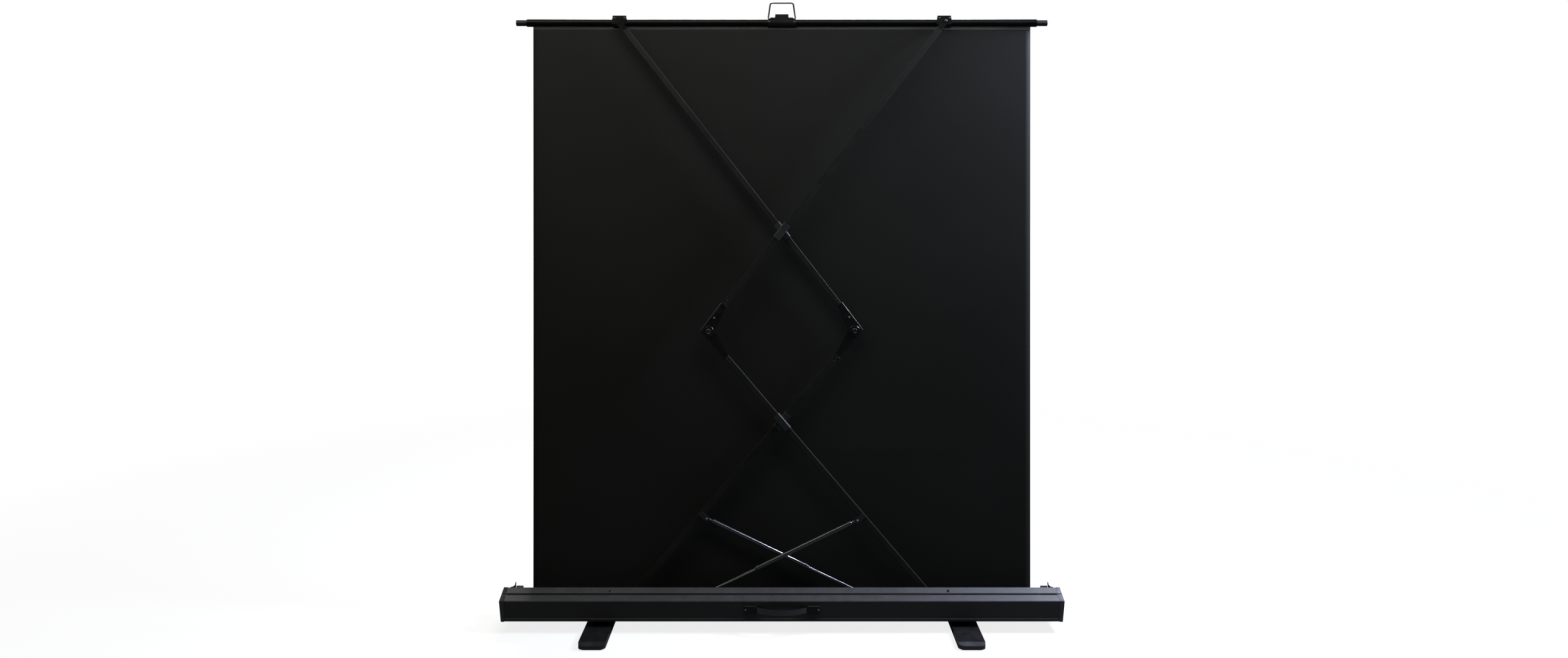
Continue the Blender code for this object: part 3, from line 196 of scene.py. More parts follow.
def coated(name, low, high, roughness, grain, depth, specular=0.5, dust=0.0, coat=0.0):
    """Powder coat or paint: fine orange peel, slow colour drift and a little dust on top."""
    made = Shader(name)
    colour = made.ramp(made.noise(*DRIFT_NOISE), low, high)
    if dust:
        film = made.ramp(made.noise(*DUST_NOISE), 0.0, dust, *DUST_STEP)
        lies = made.combine("MULTIPLY", made.facing("Z"), film, clamp=True)
        colour = made.node("ShaderNodeMixRGB", Fac=lies, Color1=colour,
                           Color2=DUST_COLOUR).outputs["Color"]
    peel = made.noise(grain, PEEL_DETAIL)
    made.set(Base_Color=colour, Roughness=made.ramp(made.noise(*SHEEN_NOISE), *roughness),
             Specular_IOR_Level=specular, Coat_Weight=coat, Coat_Roughness=COAT_ROUGHNESS,
             Normal=made.bump(peel, PEEL_STRENGTH, depth))
    return made.material


def brushed(name, low, high, stretch, roughness=(0.22, 0.38)):
    """Bare metal with drawn lines along one direction."""
    made = Shader(name)
    lines = made.noise(*DRAWN_NOISE, stretch)
    made.set(Base_Color=made.ramp(lines, low, high), Metallic=1.0,
             Roughness=made.ramp(lines, *roughness),
             Normal=made.bump(lines, DRAWN_STRENGTH, DRAWN_DEPTH))
    return made.material


# Coats: two colours, roughness, grain and peel. Bare metals: two colours and a stretch
MATERIALS = {
    "case": coated("case_paint", (0.0052, 0.0049, 0.0046), (0.0074, 0.0070, 0.0066),
                   (0.45, 0.53), 1400.0, 0.00003, specular=0.6, dust=0.04),
    "cap": coated("cap_plastic", (0.0070, 0.0070, 0.0075), (0.0110, 0.0110, 0.0120),
                  (0.24, 0.32), 1800.0, 0.00002, specular=0.8, dust=0.04),
    "arm": coated("arm_coat", (0.0056, 0.0056, 0.0053), (0.0094, 0.0094, 0.0089),
                  (0.50, 0.62), 1600.0, 0.00003, specular=0.18),
    "fitting": coated("fitting_paint", (0.0065, 0.0065, 0.0065), (0.0110, 0.0110, 0.0110),
                      (0.34, 0.46), 1200.0, 0.00005),
    "clamp": coated("clamp_paint", (0.0014, 0.0015, 0.0016), (0.0030, 0.0032, 0.0034),
                    (0.30, 0.42), 1200.0, 0.00005, specular=0.22),
    "elbow": coated("elbow_paint", (0.0022, 0.0022, 0.0023), (0.0040, 0.0040, 0.0042),
                    (0.20, 0.28), 1200.0, 0.000008, specular=0.8),
    "bar": coated("bar_gloss", (0.0012, 0.0014, 0.0014), (0.0019, 0.0022, 0.0022),
                  (0.30, 0.40), 500.0, 0.000002, specular=0.08),
    "plug": coated("plug_plastic", (0.0040, 0.0040, 0.0041), (0.0068, 0.0068, 0.0070),
                   (0.40, 0.52), 2000.0, 0.00004, specular=0.25),
    # Folded bracket edge: paint lighter than the other fittings, as a painted highlight along
    # the edge
    "edge": coated("bracket_edge_painted_highlight", (0.0120, 0.0120, 0.0122), (0.0200, 0.0200, 0.0204),
                   (0.34, 0.42), 900.0, 0.00001, specular=1.0),
    "nylon": coated("slider_nylon", (0.0055, 0.0055, 0.0058), (0.0095, 0.0095, 0.0100),
                    (0.44, 0.56), 2200.0, 0.00003),
    "wire": coated("wire_paint", (0.0055, 0.0055, 0.0058), (0.0090, 0.0090, 0.0095),
                   (0.28, 0.38), 900.0, 0.00002),
    "strut": coated("strut_paint", (0.0070, 0.0070, 0.0080), (0.0110, 0.0110, 0.0125),
                    (0.20, 0.24), 700.0, 0.000001, specular=1.0, coat=1.0),
    "foot": coated("foot_plastic", (0.0012, 0.0012, 0.0013), (0.0022, 0.0022, 0.0024),
                   (0.33, 0.41), 1500.0, 0.00002, specular=1.0, dust=0.006),
    "rubber": coated("sole_rubber", (0.0060, 0.0060, 0.0060), (0.0110, 0.0110, 0.0105),
                     (0.62, 0.78), 900.0, 0.00008),
    "handle": coated("handle_plastic", (0.0050, 0.0050, 0.0054), (0.0080, 0.0080, 0.0086),
                     (0.24, 0.32), 1700.0, 0.00001, specular=0.9, coat=0.5),
    "hem": coated("hem_tape", (0.0105, 0.0105, 0.0098), (0.0150, 0.0150, 0.0142),
                  (0.60, 0.72), 700.0, 0.00006),
    "zinc": coated("zinc_rivet", (0.075, 0.075, 0.078), (0.12, 0.12, 0.125), (0.34, 0.46),
                   800.0, 0.00003),
    # Flat near-black that stands in for shade: painted shade in the slope screws' holes and in
    # the case's groove
    "recess": coated("hole_and_groove_painted_shade", (0.0012, 0.0012, 0.0013), (0.0022, 0.0022, 0.0024),
                     (0.75, 0.88), 900.0, 0.00003, specular=0.1),
    "blackened": coated("blackened_screw", (0.020, 0.020, 0.022), (0.034, 0.034, 0.037),
                        (0.24, 0.36), 700.0, 0.00003),
    "steel": brushed("bare_steel", (0.42, 0.42, 0.43), (0.58, 0.58, 0.60), (1.0, 30.0, 30.0)),
    "rod": brushed("strut_chrome", (0.62, 0.63, 0.65), (0.72, 0.73, 0.75), (1.0, 40.0, 40.0),
                   (0.08, 0.16)),
    "alloy": brushed("roller_alloy", (0.52, 0.53, 0.54), (0.62, 0.63, 0.64),
                     (40.0, 1.0, 1.0)),
}

# Finish of each CAD node, by the start of its name
SINGLE_FINISH = {
    "case_body": "case", "top_bar": "bar", "bail_bracket": "clamp", "wire_bail": "wire",
    "carry_handle": "handle", "roller_tube": "alloy", "spring_cartridge": "steel",
}
SIDE_FINISH = {
    "end_cap": "cap", "catch": "clamp", "bar_plug": "plug", "bar_clamp": "clamp",
    "handle_mount": "plug", "roller_plug": "plug", "roller_bracket": "steel",
    "foot": "foot", "foot_sole": "rubber", "foot_bolt": "steel",
}
CHAIN_FINISH = {
    "lower_arm": "arm", "upper_arm": "arm", "base_tongue": "fitting",
    "elbow_tongue": "elbow", "elbow_fork": "elbow", "top_tongue": "clamp",
    "elbow_pin": "elbow", "lower_sleeve": "nylon", "upper_sleeve": "nylon",
    "slide_rail": "steel", "slide_shoe": "nylon", "strut_tab": "fitting",
    "strut_cylinder": "strut", "strut_rod": "rod", "strut_anchor": "steel",
}

# Width of the rounding of a node's edges, by the same starts of names
PLAIN_BEVEL = 0.0005
BEVELS = {"case_body": 0.0006, "end_cap": 0.0026, "foot": 0.0065, "foot_sole": 0.0008,
          "handle_mount": 0.0, "carry_handle": 0.0016, "wire_bail": 0.0,
          "elbow_fork": 0.0014, "elbow_tongue": 0.0014}
BEVEL_SEGMENTS = 3
BEVEL_ANGLE = math.radians(35.0)
SMOOTH_ANGLE = math.radians(38.0)


def smooth(data):
    """Shades a mesh smooth, except at its sharp edges."""
    data.shade_smooth()
    data.set_sharp_from_angle(angle=SMOOTH_ANGLE)


def dress(node, finish, bevel):
    """A CAD node keeps its shape and gets its finish, with softly rounded edges."""
    obj = NODES[node]
    obj.data.materials.clear()
    obj.data.materials.append(MATERIALS[finish])
    if bevel:
        edge = obj.modifiers.new("edge_round", "BEVEL")
        edge.width = bevel
        edge.segments = BEVEL_SEGMENTS
        edge.limit_method = "ANGLE"
        edge.angle_limit = BEVEL_ANGLE
    smooth(obj.data)


for finishes, endings in ((SINGLE_FINISH, ("",)), (SIDE_FINISH, ("_left", "_right")),
                          (CHAIN_FINISH, ("_a", "_b"))):
    for stem, finish_name in finishes.items():
        for ending in endings:
            dress(stem + ending, finish_name, BEVELS.get(stem, PLAIN_BEVEL))


def mesh_piece(name, bm, material, body):
    """A bmesh made into a piece that rides on a body."""
    bmesh.ops.recalc_face_normals(bm, faces=bm.faces)
    data = bpy.data.meshes.new(name)
    bm.to_mesh(data)
    bm.free()
    data.materials.append(material)
    piece = linked(bpy.data.objects.new(name, data))
    smooth(data)
    if body:
        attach(piece, body)
    return piece


def applied(obj):
    """Turns an object's modifiers into its mesh."""
    graph = bpy.context.evaluated_depsgraph_get()
    made = bpy.data.meshes.new_from_object(obj.evaluated_get(graph))
    obj.modifiers.clear()
    obj.data = made


def thicken(obj, thickness):
    """Gives an open sheet its thickness, half to each side."""
    solid = obj.modifiers.new("thickness", "SOLIDIFY")
    solid.thickness = thickness
    solid.offset = 0.0
    applied(obj)


# Screen cloth: hangs from the bar and runs behind the roller
CLOTH_LOW, CLOTH_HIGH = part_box("screen_cloth")
CLOTH_Y = (CLOTH_LOW.y + CLOTH_HIGH.y) / 2
CLOTH_HEIGHT = CLOTH_HIGH.z - CLOTH_LOW.z
CLOTH_THICK = 0.0009
CLOTH_HALF_WIDTH = CLOTH_HIGH.x
CLOTH_COLUMNS = 96
CLOTH_ROWS = 110

# White picture on the viewing side, up to its black borders
VIEW_HALF_WIDTH = 0.889
VIEW_LOW_Z = 0.290
VIEW_HIGH_Z = 2.068

# Waves over the cloth: depth in metres, radians per metre, and how much each counts
WAVE_DEPTH = 0.0016
WAVE_ACROSS = 5.1
WAVE_ACROSS_START = 1.3
WAVE_DOWN = 2.3
WAVE_DOWN_START = 0.6
SLANT_ACROSS = 9.7
SLANT_DOWN = 2.0
SLANT_SHARE = 0.6
WAVE_SHARE = 0.6
EDGE_SHARE = 1.2
EDGE_POWER = 14

# A crease that lies across the cloth, right of the middle
CREASE_X = 0.33
CREASE_REACH = 0.32
CREASE_Z = 0.632
CREASE_WIDTH = 0.012
CREASE_DEPTH = 0.0007

# Colours of the cloth, and its noises as scale and detail
BACK_COLOURS = ((0.0074, 0.0074, 0.0066), (0.0100, 0.0100, 0.0095))
BACK_NOISE = (1.6, 3.0)
BACK_STEP = (0.3, 0.7)
FLECK_NOISE = (420.0, 3.0)
FLECK_SHARES = (0.84, 1.16)
VIEW_COLOURS = ((0.75, 0.75, 0.745), (0.77, 0.77, 0.765))
VIEW_NOISE = (3.0, 2.0)
BORDER_GREYS = (0.009, 0.014)
BORDER_NOISE = (300.0, 2.0)
FACING_FRONT = 0.5

# Weave: two crossing waves with a ridge about every 4 mm
WEAVE_SCALE = 80.0
WEAVE_DISTORTION = 0.5
WEAVE_DETAIL = 2.0
WEAVE_STRENGTH = 0.3
WEAVE_DEPTH = 0.00004


def cloth_material():
    """Blackout cloth: charcoal woven back, matte white viewing side with black borders."""
    made = Shader("screen_cloth")
    flat = made.node("ShaderNodeTexCoord").outputs["UV"]
    parts = made.node("ShaderNodeSeparateXYZ", Vector=flat)
    threads = [made.node("ShaderNodeTexWave", wave_type="BANDS", bands_direction=axis,
                         Vector=flat, Scale=WEAVE_SCALE, Distortion=WEAVE_DISTORTION,
                         Detail=WEAVE_DETAIL).outputs["Fac"] for axis in "XY"]
    weave = made.combine("ADD", *threads)

    def speckle(scale, detail):
        """Noise over the flat cloth."""
        return made.node("ShaderNodeTexNoise", Vector=flat, Scale=scale,
                         Detail=detail).outputs["Fac"]

    back = made.ramp(speckle(*BACK_NOISE), *BACK_COLOURS, *BACK_STEP)
    flecked = made.node("ShaderNodeMixRGB", blend_type="MULTIPLY", Fac=1.0, Color1=back,
                        Color2=made.ramp(speckle(*FLECK_NOISE), *FLECK_SHARES))
    is_front = made.combine("GREATER_THAN", made.facing("Y"), FACING_FRONT)
    area = made.combine("GREATER_THAN", parts.outputs["X"], -VIEW_HALF_WIDTH)
    for axis, operation, limit in (("X", "LESS_THAN", VIEW_HALF_WIDTH),
                                   ("Y", "GREATER_THAN", VIEW_LOW_Z),
                                   ("Y", "LESS_THAN", VIEW_HIGH_Z)):
        inside = made.combine(operation, parts.outputs[axis], limit)
        area = made.combine("MULTIPLY", area, inside)
    white = made.ramp(speckle(*VIEW_NOISE), *VIEW_COLOURS)
    border = made.ramp(speckle(*BORDER_NOISE), *BORDER_GREYS)
    front = made.node("ShaderNodeMixRGB", Fac=area, Color1=border, Color2=white)
    colour = made.node("ShaderNodeMixRGB", Fac=is_front, Color1=flecked.outputs["Color"],
                       Color2=front.outputs["Color"])
    made.set(Base_Color=colour.outputs["Color"], Roughness=0.75, Specular_IOR_Level=0.12,
             Normal=made.bump(weave, WEAVE_STRENGTH, WEAVE_DEPTH))
    return made.material


def flat_map(bm, places):
    """Gives each corner its place on the flat cloth, in metres."""
    layer = bm.loops.layers.uv.new("flat_metres")
    for face in bm.faces:
        for corner in face.loops:
            corner[layer].uv = places[corner.vert]


def cloth_offset(x, z):
    """How far the cloth stands off its flat plane: slow waves, curling edges and a crease."""
    down = (CLOTH_HIGH.z - z) / CLOTH_HEIGHT
    free = math.sin(math.pi * min(max(down, 0.0), 1.0))
    slow = (math.sin(WAVE_ACROSS * x + WAVE_ACROSS_START)
            * math.sin(WAVE_DOWN * z + WAVE_DOWN_START))
    slow += SLANT_SHARE * math.sin(SLANT_ACROSS * x - SLANT_DOWN * z)
    edge = (abs(x) / CLOTH_HALF_WIDTH) ** EDGE_POWER
    crease = (math.exp(-((z - CREASE_Z) / CREASE_WIDTH) ** 2)
              * math.exp(-((x - CREASE_X) / CREASE_REACH) ** 2))
    return (WAVE_DEPTH * free * (WAVE_SHARE * slow + EDGE_SHARE * edge)
            - CREASE_DEPTH * crease)


def make_cloth():
    """The raised cloth, held between the bar and the roller."""
    bm = bmesh.new()
    places = {}
    rows = []
    for row in range(CLOTH_ROWS + 1):
        z = CLOTH_LOW.z + CLOTH_HEIGHT * row / CLOTH_ROWS
        line = []
        for column in range(CLOTH_COLUMNS + 1):
            x = -CLOTH_HALF_WIDTH + 2 * CLOTH_HALF_WIDTH * column / CLOTH_COLUMNS
            line.append(bm.verts.new((x, CLOTH_Y + cloth_offset(x, z), z)))
            places[line[-1]] = (x, z)
        rows.append(line)
    for below, above in zip(rows, rows[1:]):
        for left in range(CLOTH_COLUMNS):
            bm.faces.new((below[left], below[left + 1], above[left + 1], above[left]))
    flat_map(bm, places)
    cloth = mesh_piece("cloth_sheet", bm, cloth_material(), None)
    thicken(cloth, CLOTH_THICK)
    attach(cloth, "case")
    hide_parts("screen_cloth")
    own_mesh(cloth)


make_cloth()

# Cloth still wound on the roller, drawn as a spiral
ROLL_LOW, ROLL_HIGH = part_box("cloth_wraps")
ROLL_CENTRE = ((ROLL_LOW.y + ROLL_HIGH.y) / 2, (ROLL_LOW.z + ROLL_HIGH.z) / 2)
ROLL_RADIUS = (ROLL_HIGH.z - ROLL_LOW.z) / 2
ROLL_INNER = 0.0163
ROLL_TURNS = 2.0
ROLL_STEPS = 96
ROLL_THICK_SHARE = 0.7


def make_roll():
    """A spiral of cloth with its loose layers seen at the ends."""
    bm = bmesh.new()
    wall = (ROLL_RADIUS - ROLL_INNER) / (ROLL_TURNS + 1)
    loops = []
    for step in range(ROLL_STEPS + 1):
        turn = step / ROLL_STEPS * ROLL_TURNS
        radius = ROLL_INNER + wall / 2 + wall * turn
        angle = 2 * math.pi * turn + math.pi
        loops.append((ROLL_CENTRE[0] + radius * math.cos(angle),
                      ROLL_CENTRE[1] + radius * math.sin(angle)))
    lines = [[bm.verts.new((side * CLOTH_HALF_WIDTH, y, z)) for side in (-1, 1)]
             for y, z in loops]
    for first, second in zip(lines, lines[1:]):
        bm.faces.new((first[0], first[1], second[1], second[0]))
    length = 2 * math.pi * ROLL_TURNS * (ROLL_INNER + ROLL_RADIUS) / 2
    flat_map(bm, {corner: (corner.co.x, -length * (ROLL_STEPS - step) / ROLL_STEPS)
                  for step, line in enumerate(lines) for corner in line})
    roll = mesh_piece("cloth_roll", bm, bpy.data.materials["screen_cloth"], None)
    thicken(roll, wall * ROLL_THICK_SHARE)
    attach(roll, "roller")
    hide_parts("cloth_wraps")


make_roll()

# Small fittings, each riding on the piece it is fixed to
LATHE_SIDES = 36
SLAB_SEGMENTS = 3
DOME_STEPS = 5
HEAD_LIP = 0.0006

# Pan head with a round recess, as shares of its radius and of its height
SCREW_SHARES = ((1.0, 0.45), (0.86, 0.82), (0.55, 1.0), (0.40, 1.0), (0.34, 0.35),
                (0.0, 0.25))


def lathe(name, profile, centre, body, finish, axis=BACK):
    """A turned piece: profile points are (radius, height along the axis)."""
    bm = bmesh.new()
    rings = []
    for radius, high in profile:
        if radius == 0.0:
            rings.append([bm.verts.new((0.0, 0.0, high))])
            continue
        rings.append([bm.verts.new((radius * math.cos(2 * math.pi * side / LATHE_SIDES),
                                    radius * math.sin(2 * math.pi * side / LATHE_SIDES), high))
                      for side in range(LATHE_SIDES)])
    for low, high in zip(rings, rings[1:]):
        for side in range(LATHE_SIDES):
            after = (side + 1) % LATHE_SIDES
            corners = [low[side % len(low)], low[after % len(low)],
                       high[after % len(high)], high[side % len(high)]]
            unique = list(dict.fromkeys(corners))
            if len(unique) > 2:
                bm.faces.new(unique)
    for ring in (rings[0], rings[-1]):
        if len(ring) > 2:
            bm.faces.new(ring)
    turn = UP.rotation_difference(axis).to_matrix().to_4x4()
    bmesh.ops.transform(bm, matrix=Matrix.Translation(centre) @ turn, verts=bm.verts)
    piece = mesh_piece(name, bm, MATERIALS[finish], body)


def washer(outer, inner, high, edge):
    """Profile of a ring with bevelled rims."""
    return [(inner, 0.0), (inner, high - edge), (inner + edge, high), (outer - edge, high),
            (outer, high - edge), (outer, 0.0), (inner, 0.0)]


def dome(radius, high):
    """Profile of a low domed head."""
    points = [(0.0, -HEAD_LIP), (radius, -HEAD_LIP), (radius, HEAD_LIP)]
    for step in range(1, DOME_STEPS + 1):
        turn = math.radians(90.0 * step / DOME_STEPS)
        points.append((radius * math.cos(turn) if step < DOME_STEPS else 0.0,
                       HEAD_LIP + (high - HEAD_LIP) * math.sin(turn)))
    return points


def screw(radius, high):
    """Profile of a pan head with a round recess for the driver."""
    return [(0.0, -HEAD_LIP), (radius, -HEAD_LIP),
            *((radius * wide, high * up) for wide, up in SCREW_SHARES)]


def slab(name, centre, along, across, out, size, bevel, body, finish):
    """A block with rounded edges, its sides given by three directions."""
    bm = bmesh.new()
    bmesh.ops.create_cube(bm, size=1.0)
    bmesh.ops.scale(bm, vec=size, verts=bm.verts)
    bmesh.ops.bevel(bm, geom=list(bm.edges), offset=bevel, segments=SLAB_SEGMENTS,
                    affect="EDGES", profile=0.5)
    turn = Matrix((along, across, out)).transposed().to_4x4()
    bmesh.ops.transform(bm, matrix=Matrix.Translation(centre) @ turn, verts=bm.verts)
    piece = mesh_piece(name, bm, MATERIALS[finish], body)


# Lifting frame: side and layer of each chain, its pivots, and each arm's offset at the elbow
LAYERS = {"a": (1.0, 0.003), "b": (-1.0, -0.019)}
ELBOW_X = 0.26697
ELBOW_Z = 1.07248
BASE_X = 0.56739
BASE_Z = 0.0805
TOP_X = 0.59799
BAR_Z = 2.206
LOWER_OFFSET = 0.012
UPPER_OFFSET = 0.0145

# Fittings round an elbow: profiles, sizes and places along the arm from the pin
ELBOW_RING = washer(0.0198, 0.0101, 0.0013, 0.0005)
ELBOW_HEAD = ((0.0, -0.0005), (0.0098, -0.0005), (0.0098, 0.0010), (0.0088, 0.0019),
              (0.0056, 0.0022), (0.0046, 0.0014), (0.0, 0.0012))
COLLAR_ALONG = 0.1125
COLLAR_SIZE = (0.0030, 0.0242, 0.0142)
COLLAR_BEVEL = 0.0007
RIVET_ALONG = 0.0520
RIVET = dome(0.0034, 0.0016)
ARM_RIVET_START = 0.1070
ARM_RIVET_STEPS = (0.012, 0.026)
ARM_RIVET_REAR = 0.0060
ARM_RIVET = dome(0.0026, 0.0010)

# Folded outer edge of the upper elbow bracket, its lighter paint a painted highlight: start and
# end along the arm, and offset
FLANGE_REACH = (-0.0150, 0.1115)
FLANGE_OFFSET = 0.0262
FLANGE_WIDTH = 0.0034
FLANGE_DEPTH = 0.0094
FLANGE_BEVEL = 0.0015


def at_layer(spot, y):
    """The same place at another depth."""
    return Vector((spot.x, y, spot.z))


def make_elbow(chain):
    """Ring washers, rivets, end collars and the folded edge round one elbow, the edge in
    lighter paint as a painted highlight.
    """
    side, layer = LAYERS[chain]
    low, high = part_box(f"elbow_fork_{chain}")
    pin_low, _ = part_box(f"elbow_pin_{chain}")
    centre = Vector((side * ELBOW_X, 0.0, ELBOW_Z))
    upper = f"upper_arm_{chain}"
    lower = f"lower_arm_{chain}"
    lathe(f"elbow_ring_{chain}", ELBOW_RING, at_layer(centre, low.y), upper, "elbow")
    lathe(f"elbow_head_{chain}", ELBOW_HEAD, at_layer(centre, pin_low.y), upper, "elbow")
    lathe(f"elbow_ring_front_{chain}", ELBOW_RING, at_layer(centre, high.y), upper, "elbow",
          FRONT)
    for word, end, offset, body in (
            ("upper", (-side * TOP_X, BAR_Z), UPPER_OFFSET, upper),
            ("lower", (-side * BASE_X, BASE_Z), LOWER_OFFSET, lower)):
        far = Vector((end[0], 0.0, end[1]))
        along = (far - centre).normalized()
        out = Vector((side, 0.0, 0.0))
        across = (out - along * out.dot(along)).normalized()
        middle = at_layer(centre + across * offset, layer)
        slab(f"{word}_collar_{chain}", middle + along * COLLAR_ALONG, along, across, BACK,
             COLLAR_SIZE, COLLAR_BEVEL, body, "plug")
        if word == "upper":
            # The folded edge takes the lighter edge paint: a painted highlight
            place = centre + across * FLANGE_OFFSET + along * sum(FLANGE_REACH) / 2
            slab(f"upper_flange_{chain}", at_layer(place, layer), along, across, BACK,
                 (FLANGE_REACH[1] - FLANGE_REACH[0], FLANGE_WIDTH, FLANGE_DEPTH),
                 FLANGE_BEVEL, body, "edge")
            lathe(f"upper_rivet_{chain}", RIVET,
                  at_layer(middle + along * RIVET_ALONG, low.y), body, "zinc")
        spot = at_layer(middle + along * ARM_RIVET_START, layer - ARM_RIVET_REAR)
        for step in ARM_RIVET_STEPS:
            lathe(f"{word}_arm_rivet_{chain}_{round(step * 1000)}", ARM_RIVET,
                  spot + along * step, body, "blackened")


for chain_name in LAYERS:
    make_elbow(chain_name)

# Hinge heads and plate screws on the bar's clamps
TOP_HEAD = ((0.0, -0.0005), (0.0052, -0.0005), (0.0052, 0.0009), (0.0044, 0.0016),
            (0.0, 0.0019))
PLATE_REAR_Y = 0.0162
PLATE_SCREW = screw(0.0033, 0.0016)
PLATE_SCREW_STEP = 0.0185
PLATE_SCREW_RISE = 0.0165

# Hem that the cloth hangs by, just under the cloth's upper edge
HEM_HEIGHT = 0.0100
HEM_DROP = 0.0016
HEM_THICK = 0.0034
HEM_BEVEL = 0.0010


def make_top_fittings():
    """Hinge heads and plate screws at the bar, and the hem the cloth hangs by."""
    for chain, word in (("a", "left"), ("b", "right")):
        side = LAYERS[chain][0]
        low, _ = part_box(f"top_tongue_{chain}")
        spot = Vector((-side * TOP_X, low.y, BAR_Z))
        lathe(f"top_head_{word}", TOP_HEAD, spot, "bar", "zinc" if side > 0 else "blackened")
        for step in (-PLATE_SCREW_STEP, PLATE_SCREW_STEP):
            spot = Vector((-side * TOP_X + step, PLATE_REAR_Y, BAR_Z + PLATE_SCREW_RISE))
            lathe(f"plate_screw_{word}_{'near' if step * side > 0 else 'far'}", PLATE_SCREW,
                  spot, "bar", "blackened")
    hem_z = CLOTH_HIGH.z - HEM_HEIGHT / 2 - HEM_DROP
    slab("cloth_hem", Vector((0.0, CLOTH_Y, hem_z)), RIGHT, UP, BACK,
         (2 * CLOTH_HALF_WIDTH, HEM_HEIGHT, HEM_THICK), HEM_BEVEL, "bar", "hem")


# Sloped band of the case: its normal, the screws on it with discs of painted shade in their
# holes, and the strip of painted shade in its groove
SLOPE_NORMAL = Vector((0.0, -0.4727, 0.8812))
SLOPE_SCREW_X = {"left": -0.6219, "right": 0.6014}
SLOPE_SCREW_Y = -0.0493
SLOPE_SCREW_Z = 0.1378
SLOPE_RING = washer(0.0056, 0.0040, 0.0010, 0.0003)
# Flat disc of painted shade in each slope screw's hole
SLOPE_HOLE_SHADE = ((0.0, -0.0004), (0.0041, -0.0004), (0.0041, 0.0003), (0.0, 0.0004))
GROOVE_CENTRE = (-0.0614, 0.13134)
GROOVE_LENGTH = 1.986
# Strip of painted shade in the groove: width, thickness, sink and bevel
GROOVE_SHADE_WIDTH = 0.0080
GROOVE_SHADE_THICK = 0.0010
GROOVE_SHADE_SINK = 0.0002
GROOVE_SHADE_BEVEL = 0.0002

# Screws in the end caps and in the handle's mounts
CAP_SCREW = screw(0.0044, 0.0020)
CAP_SCREW_SINK = 0.0004
CAP_SCREW_PLACES = {"rear_low": (-0.060, 0.066), "front_low": (0.060, 0.066),
                    "high": (-0.040, 0.118)}
HANDLE_SCREW = dome(0.0028, 0.0018)
HANDLE_SCREW_X = 0.1305
HANDLE_SCREW_Z = 0.0885


def make_case_fittings():
    """Screws on the sloped band, each a ring round a disc of painted shade in its hole, a strip
    of painted shade in the band's groove, and screws on the end caps and in the handle's
    mounts.
    """
    for word, x in SLOPE_SCREW_X.items():
        spot = Vector((x, SLOPE_SCREW_Y, SLOPE_SCREW_Z))
        lathe(f"slope_ring_{word}", SLOPE_RING, spot, "case", "blackened", SLOPE_NORMAL)
        lathe(f"slope_hole_shade_{word}", SLOPE_HOLE_SHADE, spot, "case", "recess", SLOPE_NORMAL)
    rise = Vector((0.0, SLOPE_NORMAL.z, -SLOPE_NORMAL.y))
    # A dark strip in the groove, as painted shade
    groove_shade = Vector((0.0, *GROOVE_CENTRE)) - SLOPE_NORMAL * GROOVE_SHADE_SINK
    slab("groove_painted_shade", groove_shade, RIGHT, rise, SLOPE_NORMAL,
         (GROOVE_LENGTH, GROOVE_SHADE_WIDTH, GROOVE_SHADE_THICK), GROOVE_SHADE_BEVEL, "case", "recess")
    for word, side in (("left", -1.0), ("right", 1.0)):
        low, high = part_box(f"end_cap_{word}")
        face = high.x if side > 0 else low.x
        for tag, (y, z) in CAP_SCREW_PLACES.items():
            lathe(f"cap_screw_{word}_{tag}", CAP_SCREW,
                  Vector((face - side * CAP_SCREW_SINK, y, z)), "case", "blackened",
                  Vector((side, 0.0, 0.0)))
        low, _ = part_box(f"handle_mount_{word}")
        lathe(f"handle_screw_{word}", HANDLE_SCREW,
              Vector((side * HANDLE_SCREW_X, low.y, HANDLE_SCREW_Z)), "case", "zinc")


# Gas struts: upper pin, and the way down from it on chain a
STRUT_PIN_X = 0.274931
STRUT_PIN_Z = 0.385629
STRUT_RUN = (0.901108, -0.433594)
STRUT_BOLT = dome(0.0044, 0.0022)

# Clips round each cylinder: name, distance from the pin and outer radius
STRUT_CLIPS = (("mouth", 0.398, 0.0090), ("collar", 0.030, 0.0086))
STRUT_CLIP_BORE = 0.0079
STRUT_CLIP_HIGH = 0.0060
STRUT_CLIP_EDGE = 0.0008


def make_strut_fittings():
    """Bolt heads at the struts' upper eyes and two clips round each cylinder."""
    for chain, (side, layer) in LAYERS.items():
        low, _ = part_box(f"strut_tab_{chain}")
        start = Vector((-side * STRUT_PIN_X, layer, STRUT_PIN_Z))
        lathe(f"strut_bolt_{chain}", STRUT_BOLT, at_layer(start, low.y),
              f"lower_arm_{chain}", "zinc")
        drop = Vector((side * STRUT_RUN[0], 0.0, STRUT_RUN[1]))
        for tag, along, radius in STRUT_CLIPS:
            profile = washer(radius, STRUT_CLIP_BORE, STRUT_CLIP_HIGH, STRUT_CLIP_EDGE)
            lathe(f"strut_ring_{tag}_{chain}", profile, start + drop * along,
                  f"strut_cylinder_{chain}", "blackened", drop)


make_top_fittings()
make_case_fittings()
make_strut_fittings()

# Stage: a wide floor that is white to the camera and dim to the object
FLOOR_HALF = 14.0
SHADOW_REACH = (2.2, 4.5)
SHADOW_SHARE = 0.18
PAPER_DIM = (0.08, 0.08, 0.08, 1.0)
PAPER_SEEN = (0.84, 0.84, 0.85, 1.0)
PAPER_NOISE = (300.0, 3.0)
PAPER_STRENGTH = 0.2
PAPER_DEPTH = 0.0002

# Strength of the room's own light on the object
ROOM_LEVEL = 0.035

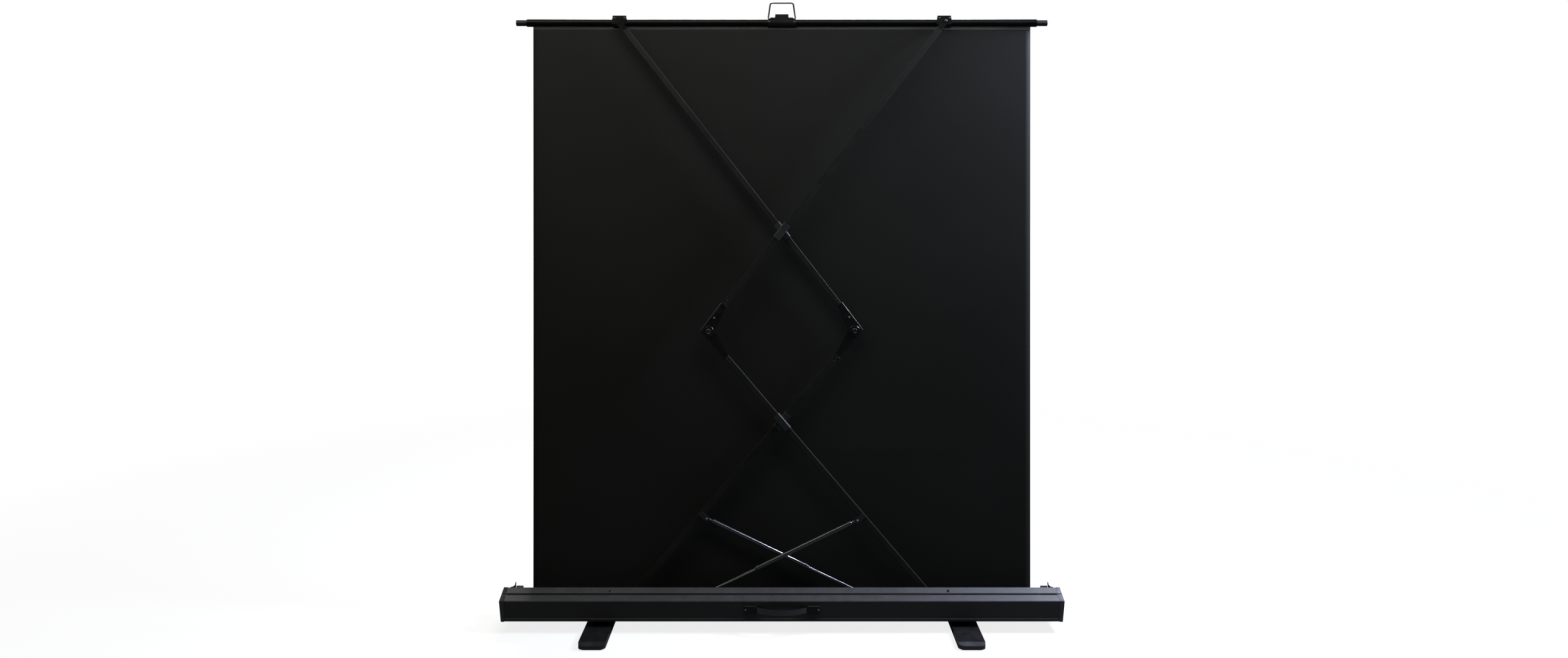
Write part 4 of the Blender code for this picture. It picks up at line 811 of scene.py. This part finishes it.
# Lamps: name, place, target, size, power and colour
LAMPS = (
    ("key_above", (-0.45, -1.0, 3.2), (-0.3, 0.0, 1.4), (3.4, 0.7), 48.0, (0.98, 1.0, 0.93)),
    ("rim_right", (2.75, -0.16, 2.75), (0.5, -0.1, 0.3), (0.9, 0.5), 155.0, (0.80, 0.88, 1.0)),
    ("strip_right", (1.85, -0.14, 2.85), (0.1, -0.05, 0.2), (0.5, 0.25), 78.0,
     (0.64, 0.69, 1.0)),
    ("fill_left", (-3.3, -1.6, 2.4), (-0.3, 0.0, 1.2), (1.4, 1.8), 12.0, (0.86, 1.0, 0.56)),
    ("view_side", (0.0, 3.0, 4.4), (0.0, 0.0, 1.0), (3.0, 1.2), 250.0, (1.0, 0.99, 0.97)),
)


def floor_material():
    """Pale paper: white to the camera with a faint shadow near the object."""
    made = Shader("floor_paper")
    seen = made.seen()
    paper = made.node("ShaderNodeMixRGB", Fac=seen, Color1=PAPER_DIM, Color2=PAPER_SEEN)
    grain = made.bump(made.noise(*PAPER_NOISE), PAPER_STRENGTH, PAPER_DEPTH)
    made.set(Base_Color=paper.outputs["Color"], Roughness=0.9, Specular_IOR_Level=0.1,
             Normal=grain)
    distance = made.node("ShaderNodeVectorMath", operation="LENGTH", Vector=made.place())
    fade = made.node("ShaderNodeMapRange", Value=distance.outputs["Value"],
                     From_Min=SHADOW_REACH[0], From_Max=SHADOW_REACH[1],
                     To_Min=1.0 - SHADOW_SHARE, To_Max=1.0)
    share = made.combine("MULTIPLY", seen, fade.outputs["Result"])
    glow = made.node("ShaderNodeEmission", Strength=1.0, Color=WHITE)
    mix = made.node("ShaderNodeMixShader", Fac=share)
    made.feed(made.main.outputs[0], mix.inputs[1])
    made.feed(glow.outputs[0], mix.inputs[2])
    made.feed(mix.outputs[0], made.output.inputs["Surface"])
    return made.material


def make_stage():
    """The floor that the screen stands on."""
    bm = bmesh.new()
    corners = [bm.verts.new((x * FLOOR_HALF, y * FLOOR_HALF, 0.0))
               for x, y in ((-1, -1), (1, -1), (1, 1), (-1, 1))]
    bm.faces.new(corners)
    mesh_piece("floor", bm, floor_material(), None)


def area_light(name, location, target, size, power, colour):
    """A rectangular lamp that faces its target."""
    data = bpy.data.lights.new(name, "AREA")
    data.shape = "RECTANGLE"
    data.size, data.size_y = size
    data.energy = power
    data.color = colour
    lamp = linked(bpy.data.objects.new(name, data))
    lamp.location = location
    aim = Vector(target) - Vector(location)
    lamp.rotation_euler = aim.to_track_quat("-Z", "Y").to_euler()


def make_light():
    """A white room that the camera sees bright and the object dim, and the lamps."""
    world = bpy.data.worlds.new("soft_room")
    scene.world = world
    world.use_nodes = True
    made = Nodes(world.node_tree)
    strength = made.node("ShaderNodeMapRange", Value=made.seen(), To_Min=ROOM_LEVEL,
                         To_Max=1.0)
    background = made.tree.nodes["Background"]
    made.feed(WHITE, background.inputs["Color"])
    made.feed(strength.outputs["Result"], background.inputs["Strength"])
    for lamp in LAMPS:
        area_light(*lamp)


make_stage()
make_light()
scene.view_settings.view_transform = "Standard"
